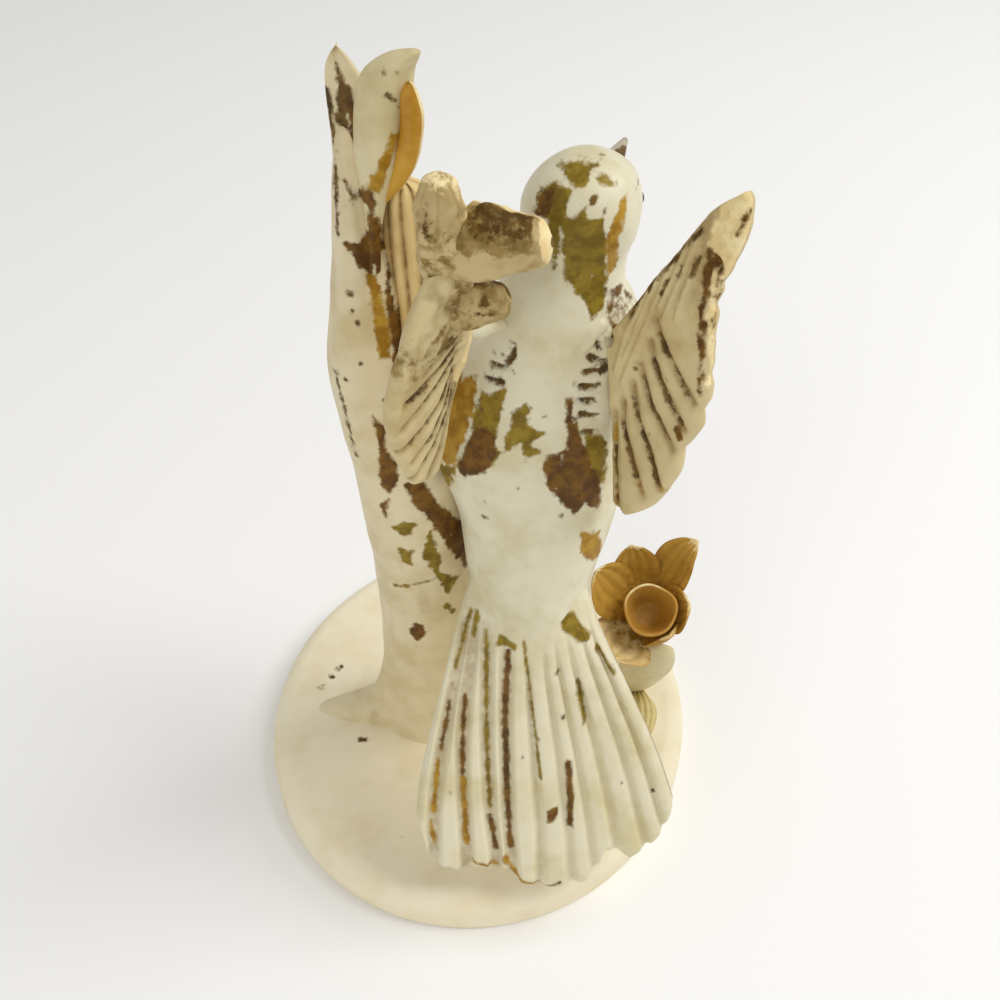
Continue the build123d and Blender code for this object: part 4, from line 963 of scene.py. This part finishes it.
def plume_rings(rows, radius, angle, bearing, rise, length, width, thickness, across, seed,
                flutes=0, lean=0, swing=0):
    """Ovals along a run from a point of the left wing; lumps and long flutes roughen them. The root is
    widened to one side by lean, and the tip swings out by swing."""
    root = LEFT_SHOULDER + radius * left_way(angle)
    run = direction(bearing, rise)
    share = 1 - (1 - np.linspace(0, 1, 100)[:, None]) ** 1.6
    full = through(share, rows) * round_end(share, 0.9)
    wide = across - run * (across @ run)
    wide = wide / np.linalg.norm(wide)
    deep = np.cross(run, wide)
    loop = circle(130)
    core = placed(root, (length * share, run), (lean * (1 - share) + swing * share ** 2, wide))
    breadth = (width / 2 + lean * (1 - share)) * full
    depth = thickness / 2 * np.sqrt(full) * np.sqrt(np.clip(full * 1.6, 0, 1))
    rings = placed(core, (breadth * np.cos(loop), wide), (depth * np.sin(loop), deep))
    flute = np.abs(np.sin(3.5 * loop + 0.6 * np.sin(5 * share))) - 0.6
    swell = 0.13 * lumps(rings, 3.2, seed) + 0.1 * lumps(rings, 1.3, seed + 1) + 0.14 * flutes * flute
    # Grime in lumps, and painted shade down the flutes.
    hollow = 0.5 * soft_step(lumps(rings, 1.4, seed + 3), 0.1, 0.7)
    hollow = hollow + 0.6 * flutes * soft_step(flute, -0.2, -0.6)
    return core + (rings - core) * (1 + swell)[..., None], share, loop, hollow


plume_paint = painted("plume paint", PLUME_TAN, roughness=0.62,
                      paints=(SLIP_OLIVE, PLUME_BROWN, BARE_CHALK, DARK), flake=1.8)
top_points, top_share, top_loop, top_hollow = plume_rings(
    TOP_PLUME, radius=20, angle=43, bearing=-76, rise=82, length=17.5, width=7.6, thickness=5,
    across=RIGHTWARD, seed=61, flutes=0.5, swing=-1.2)
top_cover = coats(top_points[..., [0, 2]], (), TOP_PLUME_BROWN, (), TOP_PLUME_DARK)
# Pale at the plume's tip and along its right side.
top_pale = np.maximum(0.62 * soft_step(top_share, 0.86, 1), 0.55 * soft_step(np.cos(top_loop), 0.6, 1))
top_cover = np.maximum(top_cover, layers(0.42 * soft_step(top_share, 0.9, 0.6), ochre=top_pale))
fit("top_plume", top_points, plume_paint, "wing_left_plume_top", top_cover, top_hollow)

mid_points, mid_share, mid_loop, mid_hollow = plume_rings(
    MID_PLUME, radius=25, angle=54, bearing=-12, rise=12, length=12.4, width=8.6, thickness=5.6,
    across=UPWARD, seed=71, lean=0.9)
mid_up = np.cos(mid_loop + np.pi / 4)
mid_face = soft_step(mid_up, 0.82, 0.62) * soft_step(mid_share, 0.92, 0.84)
mid_olive = 0.72 * mid_face * soft_step(mid_up, -0.95, -0.6)
mid_brown = 0.64 * mid_face * soft_step(mid_share, -0.1, 0.6) * soft_step(mid_up, -0.7, -0.1)
# Painted highlight along the plume's upper rim, and bare chalk at its chipped tip.
mid_highlight_and_chip = np.maximum(0.7 * soft_step(mid_up, 0.7, 0.85), 0.9 * soft_step(mid_share, 0.88, 0.95))
mid_cover = layers(mid_olive, mid_brown, mid_highlight_and_chip)
fit("middle_plume", mid_points, plume_paint, "wing_left_plume_mid", mid_cover, mid_hollow)

low_points, _, low_loop, low_hollow = plume_rings(
    LOW_PLUME, radius=18, angle=38, bearing=-11, rise=18, length=8.2, width=5.8, thickness=4.8,
    across=UPWARD, seed=81)
low_up = np.cos(low_loop + np.pi / 4)
low_cover = layers(0.38 + 0.24 * soft_step(low_up, 0.1, 0.6), 0.62 * soft_step(low_up, 0.45, 0.85))
low_cover = np.maximum(low_cover, coats(low_points[..., [0, 2]], (), (), (), LOW_PLUME_DARK))
fit("low_plume", low_points, plume_paint, "wing_left_plume_low", low_cover, low_hollow)

# Iron wires
# Soft iron wire that carries the wings and the middle plume; only the plume's rusty end shows.
IRON = (tint(66, 50, 36), tint(96, 60, 34))
iron_paint = painted("iron wire", IRON, roughness=0.55, grime_and_shade=tint(48, 34, 24))
for wire_node in ("wing_wire_right", "wing_wire_left", "plume_wire"):
    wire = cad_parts[wire_node]
    wire.data.materials.clear()
    wire.data.materials.append(iron_paint)

# Fan tail
# One fluted fan pressed in a mould, with a tongue in the body and the joint smoothed over with slip.
# Brown and ochre lie in its channels, and its scalloped end is chipped at the right.
# It is set out from a pivot above it: TAIL_SIDES are rows of a radius and the angles of both side edges,
# TAIL_START and TAIL_END rows of a share of the width and the radius where the ribs start or the fan ends.
TAIL_DOWN = direction(bearing=-86.3, rise=-62.7)
TAIL_FACE = direction(bearing=-86.3, rise=27.3)
TAIL_SIDE = np.cross(TAIL_FACE, TAIL_DOWN)
TAIL_FOLD_SHARE = 0.2
TAIL_FOLD_BACK = 8.8
TAIL_FOLD_RADIUS = 30
TAIL_FOLD = body_axis(TAIL_FOLD_SHARE) - np.array([0, TAIL_FOLD_BACK, 0])
TAIL_PIVOT = TAIL_FOLD - TAIL_DOWN * TAIL_FOLD_RADIUS
TAIL_INNER = 22
TAIL_THICKNESS = 3
TAIL_WRAP_RADIUS = 9.5
TAIL_WRAP_FADE = (46, 26)
TAIL_RIB_FADE = 10
TAIL_DROOP = 0.0006
TAIL_DRAWN_SHARE = 0.42
TAIL_WHITE = (tint(224, 215, 184), tint(208, 196, 152))
TAIL_SIDES = [(22, -20, 15), (30, -21.4, 15.2), (37, -21.2, 15.6), (46, -20.4, 17.2), (56, -19.6, 18.2),
    (64, -18.8, 18.4), (71, -17.8, 18.2), (84, -17.6, 18)]
TAIL_START = [(0, 27), (0.3, 32), (0.5, 37), (0.75, 34), (1, 32)]
TAIL_END = [(0, 71), (0.07, 77.5), (0.14, 80), (0.2, 80), (0.24, 79), (0.3, 79.5), (0.35, 79.5),
    (0.38, 80.5), (0.41, 82), (0.49, 83), (0.57, 83), (0.63, 82.5), (0.66, 81), (0.69, 79), (0.71, 77),
    (0.75, 78), (0.79, 79.5), (0.85, 78.5), (0.92, 76.5), (1, 71.5)]
TAIL_GROOVES = [0, 0.055, 0.155, 0.275, 0.362, 0.473, 0.583, 0.66, 0.75, 0.855, 0.93, 1]
TAIL_CHANNELS = [[(5.5, 56), (5, 44), (5.5, 28), (6, 21), (6.5, 16)],
    [(2, 57), (2, 39), (2.5, 28), (3.5, 21), (3.5, 16)],
    [(0.5, 57), (-1.5, 46.5), (-2, 39), (-2, 32), (-1.5, 22), (-1.5, 17)],
    [(-1, 57), (-3, 50), (-4, 45.5), (-5.5, 38), (-6.5, 32), (-7, 26), (-7, 20)]]
TAIL_BROWN = [(0.5, (5.5, 53), (5, 44), (5.5, 28), (6, 21)), (0.4, (2.5, 26.5), (3.5, 21)),
    (0.35, (-1.5, 46.5), (-2, 39), (-2, 32)), (0.3, (-4, 45.5), (-5.5, 38)),
    (0.55, (15.5, 35.5), (16, 30), (16, 24.5)), [(14, 28.5), (14, 27), (13, 25.5), (12, 25.5), (12, 27.5)],
    (0.2, (5, 19), (7, 16), (11, 13.5), (14.5, 15))]
TAIL_OCHRE = [(0.5, (-2, 33), (-1.5, 22)), (0.4, (-6, 36), (-6.5, 32), (-7, 27.5)),
    (0.35, (5, 19.5), (7, 16), (11, 14)), (0.3, (-0.5, 19.5), (3.5, 18)), (0.35, (-7.5, 26), (-7, 22.5))]
TAIL_OLIVE = [[(4, 55.5), (7, 54.5), (6.5, 53.5), (3.5, 54)], (0.35, (2, 55), (2, 39), (2.5, 28)),
    (0.4, (0.5, 57), (0, 54)), (0.3, (-0.5, 57), (-1.5, 54), (-3, 50.5)),
    (0.22, (8, 55), (9.5, 44), (11, 33)), (0.4, (17, 48), (18, 42)),
    [(14, 59), (16, 58.5), (17, 56.5), (19, 54.5), (17.5, 53.5), (14, 56.5)],
    (0.35, (20, 52.5), (22.5, 49.5))]
TAIL_DARK = [(0.3, (13.5, 50)), (0.3, (14.5, 43)), (0.25, (8, 37)), (0.2, (10.5, 39.5)), (0.35, (30, 29)),
    (0.2, (24.5, 31.5)), (0.2, (11, 33)), (0.2, (-4, 31.5)), (0.2, (-3.5, 48.5)),
    (0.2, (5.5, 50), (5, 44), (5.5, 30))]


def tail_rings():
    """Feathers side by side: their angle about the pivot runs between the left and right edges. The face lies
    in flat ribs with channels between them, wraps round the body at the top and fades smooth there."""
    across = np.linspace(0, 1, 330)[:, None]
    share, bend = section(110)
    half = TAIL_THICKNESS / 2
    wave = np.abs(np.sin(np.pi * np.interp(across, TAIL_GROOVES, np.arange(len(TAIL_GROOVES)))))
    crest = 0.6 * soft_step(wave, 0.18, 0.8) + 0.4 * wave
    end = np.interp(across, *np.transpose(TAIL_END)) - 0.5 * (1 - wave ** 0.75)
    radius = TAIL_INNER + (end - half - TAIL_INNER) * share + half * np.sin(bend)
    side_radii, lefts, rights = np.transpose(TAIL_SIDES)
    left = np.interp(radius, side_radii, lefts)
    right = np.interp(radius, side_radii, rights)
    angle = np.radians(left + (right - left) * across)
    slim = slimmed(np.minimum(across, 1 - across) * 329 / 13, 0.03)
    start = np.interp(across, *np.transpose(TAIL_START))
    face = (np.cos(bend) + 1) / 2
    shown = soft_step(radius, start, start + TAIL_RIB_FADE) * face
    lateral = radius * np.sin(angle)
    wrap = lateral ** 2 / (2 * TAIL_WRAP_RADIUS) * soft_step(radius, *TAIL_WRAP_FADE)
    plane = placed(TAIL_PIVOT, (radius * np.cos(angle), TAIL_DOWN), (lateral, TAIL_SIDE))
    channel = depths((plane + TAIL_FACE * half)[..., [0, 2]], lines(TAIL_CHANNELS, 0.7))
    drawn = across < TAIL_DRAWN_SHARE
    ribs = np.where(drawn, soft_step(channel, 0.2, -1), crest)
    lift = half * np.cos(bend) * slim + (ribs - 0.85) * shown - wrap - TAIL_DROOP * lateral ** 2
    rings = placed(plane, (lift, TAIL_FACE))
    rings = placed(rings, (0.08 * lumps(rings, 4, 91) + 0.04 * lumps(rings, 1.5, 92), TAIL_FACE))
    # Painted shade in the channels and between the ribs, fainter on the right half.
    groove = np.where(drawn, soft_step(channel, -0.6, 0.3), soft_step(wave, 0.5, 0)) * shown
    return rings, groove * (0.5 - 0.4 * soft_step(across, 0.35, 0.6)), face > 0.4


tail_points, tail_hollow, tail_front = tail_rings()
tail_cover = coats(tail_points[..., [0, 2]], TAIL_OLIVE, TAIL_BROWN, TAIL_OCHRE, TAIL_DARK)
tail_paint = painted("tail white", TAIL_WHITE, roughness=0.36, flake=0.6)
tail_cover = tail_cover * tail_front[:, None]
fit("fan_tail", tail_points, tail_paint, "tail_fan", tail_cover, tail_hollow)

# Flower
# A six-petalled flower beaten out of slip round a turned-out cup, on a stem in the foot beside the stump.
# Two leaves lie under it. Ochre and cream, with green gone yellow on the stem and the low leaf.
FLOWER_X = 32
FLOWER_Y = 2.5
FLOWER_LIFT = 23


def foot_top(x, y):
    """Height of the foot's dome over a point in plan."""
    return FOOT_HEIGHT - FOOT_CROWN * (x * x + y * y) / FOOT_HALF_WIDTH ** 2


FLOWER_AXIS = direction(bearing=-90, rise=60)
FLOWER_FLOOR = np.array([FLOWER_X, FLOWER_Y, foot_top(FLOWER_X, FLOWER_Y) + FLOWER_LIFT])
FLOWER_ACROSS = np.cross(FLOWER_AXIS, RIGHTWARD)
CALYX_HEIGHT = 6
CALYX = [(0.3, -CALYX_HEIGHT), (1.7, -CALYX_HEIGHT), (2.2, -4), (3, -1.6), (3.5, -0.2), (3.1, 0), (0.3, 0.05)]
CUP_POINTS = 120
CUP_FOOT_RADIUS = 3.2
CUP_RADIUS = 5
CUP_HEIGHT = 7.5
CUP_WALL = 0.6
CUP_LIP = 0.5
CUP_FLOOR_RADIUS = 1.6
CUP_FLOOR_HEIGHT = 1.6
CUP_OUTER_ROWS = 33
CUP_LIP_ROWS = slice(27, 32)
PETAL_CREAM = (tint(228, 204, 146), tint(206, 174, 106))
PETAL_OCHRE = (tint(198, 154, 66), tint(170, 124, 38))
CUP_OCHRE = (tint(194, 146, 62), tint(168, 118, 38))


def turned_rings(radii, heights, waves=0):
    """A profile turned about the flower's axis; the rim waves up and down towards the top."""
    loop = circle(CUP_POINTS)
    radii = np.array(radii)[:, None]
    heights = np.array(heights)[:, None]
    rim = soft_step(heights, 2, CUP_HEIGHT)
    ripple = waves * rim * (0.5 * np.sin(3 * loop + 0.8) + 0.3 * np.sin(5 * loop))
    radius = radii * (1 + 0.05 * ripple)
    height = heights - waves * 0.3 * rim + 0.35 * ripple
    return placed(FLOWER_FLOOR, (radius * np.cos(loop), RIGHTWARD), (radius * np.sin(loop), FLOWER_ACROSS),
                  (height, FLOWER_AXIS))


petal_cream = painted("petal cream", PETAL_CREAM, roughness=0.5, paints=CHIPPED)
petal_ochre = painted("petal ochre", PETAL_OCHRE, roughness=0.5, paints=CHIPPED)
fit("calyx", turned_rings(*np.transpose(CALYX)), petal_cream, "flower_calyx")

cup_up = np.linspace(0, 1, 24)
cup_down = cup_up[::-1]
cup_bend = np.linspace(0, np.pi, 9)[1:-1]
cup_top = CUP_HEIGHT - CUP_LIP
cup_radii = np.concatenate([[0.4, 1.8], CUP_FOOT_RADIUS + (CUP_RADIUS - CUP_FOOT_RADIUS) * cup_up ** 1.2,
                            CUP_RADIUS - CUP_WALL / 2 + CUP_WALL / 2 * np.cos(cup_bend),
                            CUP_FLOOR_RADIUS + (CUP_RADIUS - CUP_WALL - CUP_FLOOR_RADIUS) * cup_down ** 0.5,
                            [1, 0.4]])
cup_heights = np.concatenate([[0, 0], cup_top * cup_up, cup_top + CUP_LIP * np.sin(cup_bend),
                              CUP_FLOOR_HEIGHT + (cup_top - CUP_FLOOR_HEIGHT) * cup_down, [1.5, 1.5]])
# Painted shade inside the cup, deepening towards its floor.
cup_hollow = np.concatenate([np.zeros(CUP_OUTER_ROWS), np.linspace(0, 0.5, 24), [0.5, 0.5]])[:, None]
cup_lip = np.zeros((cup_radii.size, 1))
cup_lip[CUP_LIP_ROWS] = 0.3
cup_cover = layers(cup_lip * (1 + np.cos(circle(CUP_POINTS) - 2)))
cup_paint = painted("cup ochre", CUP_OCHRE, roughness=0.5, paints=CHIPPED, flake=0.3)
cup_points = turned_rings(cup_radii, cup_heights, 1)
fit("cup", cup_points, cup_paint, "flower_cup", cup_cover, cup_hollow)


def blade_rings(rows, root, run, across, width, thickness, bow, seed,
                cup=0, ridges=0, ridge_depth=0, curl=0):
    """Flat ovals along a bowed run: ridged on the upper side and cupped, so that the edges stand up. The last
    fifth curls back over by curl. A row is a share of the run and how full the blade is there."""
    share = np.linspace(0, 1, 80)[:, None]
    full = through(share, rows) * round_end(share, 0.92)
    along = run + np.pi * np.cos(np.pi * share) * bow
    along = along / np.linalg.norm(along, axis=-1, keepdims=True)
    wide = across - (along @ across)[:, None] * along
    wide = wide / np.linalg.norm(wide, axis=-1, keepdims=True)
    over = np.cross(along, wide)
    core = root + share * run + np.sin(np.pi * share) * bow
    core = core - curl * np.clip((share - 0.8) / 0.2, 0, 1) ** 2 * over
    loop = circle(72)
    side = np.cos(loop)
    above = np.sin(loop)
    groove = ridged(side, ridges) * (above > 0)
    lift = thickness / 2 * np.sqrt(full) * above + ridge_depth * groove * soft_step(above, 0.05, 0.5)
    lift = lift + cup * full * side ** 2
    rings = placed(core[:, None, :], (width / 2 * full * side, wide[:, None, :]), (lift, over[:, None, :]))
    return placed(rings, (0.1 * lumps(rings, 2, seed), over[:, None, :])), -groove


# A row of PETALS is its bearing round the cup, its rise, length, width, curl and twist, and its paint.
PETAL = [(0, 0.4), (0.4, 0.95), (0.7, 0.92), (0.92, 0.5), (1, 0.2)]
PETALS = [(57, 48, 17.5, 9.5, 1.4, 32, petal_ochre), (106, 43, 14, 10, 0, 0, petal_ochre),
    (148, 48, 15, 11, 0, 0, petal_ochre), (228, 40, 12, 12.5, 0.4, 0, petal_cream),
    (306, 64, 8, 9, 0, 0, petal_ochre), (8, 64, 11, 9.6, 0, 0, petal_ochre)]
PETAL_SEAT = 2.2
PETAL_DROP = 1.3
PETAL_BOW = 1.4
petal_share = np.linspace(0, 1, 80)[:, None]
petal_cover = layers(0.62 * soft_step(petal_share, 0.84, 1), 0.46 * soft_step(petal_share, 0.5, 0.25),
                     0.4 * soft_step(petal_share, 0.75, 0.45))
for number, (bearing, rise, length, width, curl, twist, petal_paint) in enumerate(PETALS):
    bearing, rise, twist = np.radians([bearing, rise, twist])
    spoke = RIGHTWARD * np.cos(bearing) + FLOWER_ACROSS * np.sin(bearing)
    petal_root = FLOWER_FLOOR - PETAL_DROP * FLOWER_AXIS + spoke * PETAL_SEAT
    petal_run = (spoke * np.cos(rise) + FLOWER_AXIS * np.sin(rise)) * length
    petal_out = spoke * np.sin(rise) - FLOWER_AXIS * np.cos(rise)
    petal_across = np.cross(FLOWER_AXIS, spoke) * np.cos(twist) + petal_out * np.sin(twist)
    petal_points, petal_groove = blade_rings(PETAL, petal_root, petal_run, petal_across, width, thickness=1.3,
                                             bow=petal_out * PETAL_BOW, seed=101 + number, cup=1.3, ridges=5,
                                             ridge_depth=0.22, curl=curl)
    # Painted shade in the petals' grooves.
    fit(f"petal_{number + 1}", petal_points, petal_paint, f"flower_petal_{number + 1}",
        petal_cover, 0.5 * petal_groove ** 2)

LEAF_GREEN = (tint(214, 196, 134), tint(188, 164, 92))
STEM_RADII = [1.75, 1.7, 1.7]
STEM_SEAT = 2
STEM_OVERLAP = 0.9
green_paint = painted("leaf green", LEAF_GREEN, roughness=0.5)
stem_top = FLOWER_FLOOR - CALYX_HEIGHT * FLOWER_AXIS
stem_foot = np.array([stem_top[0], stem_top[1], foot_top(stem_top[0], stem_top[1])])
stem_start = stem_foot - STEM_SEAT * UPWARD
stem_points = rod_rings(stem_start, stem_top + STEM_OVERLAP * UPWARD, STEM_RADII, roughness=0.03,
                        seed=111)
fit("stem", stem_points, green_paint, "flower_stem")

CRADLE = [(0, 0.4), (0.35, 0.8), (0.75, 1), (1, 0.75)]
LOW_LEAF = [(0, 0.45), (0.35, 1), (0.72, 0.75), (1, 0.14)]
LEAF_BEHIND = 3.4
leaf_root = stem_foot - np.array([0, LEAF_BEHIND, 0])
CRADLE_RUN = np.array([0.8, -4.8, 21])
CRADLE_ACROSS = np.array([0.95, 0, 0.3])
CRADLE_BOW = np.array([0, -2.2, 0])
cradle_points, _ = blade_rings(CRADLE, leaf_root, CRADLE_RUN, CRADLE_ACROSS, width=10.6, thickness=1.8,
                               bow=CRADLE_BOW, seed=112, cup=0.8)
cradle_paint = painted("cradle leaf paint", LEAF_CREAM, roughness=0.34)
fit("cradle_leaf", cradle_points, cradle_paint, "flower_leaf_cradle")
LOW_LEAF_RUN = np.array([0, -13, 0])
low_leaf_points, low_leaf_groove = blade_rings(LOW_LEAF, leaf_root, LOW_LEAF_RUN, RIGHTWARD, width=7.5,
                                               thickness=3.2, bow=np.zeros(3), seed=113, ridges=6,
                                               ridge_depth=0.35)
# Painted shade in the low leaf's grooves.
fit("low_leaf", low_leaf_points, green_paint, "flower_leaf_low", hollow=0.6 * low_leaf_groove)
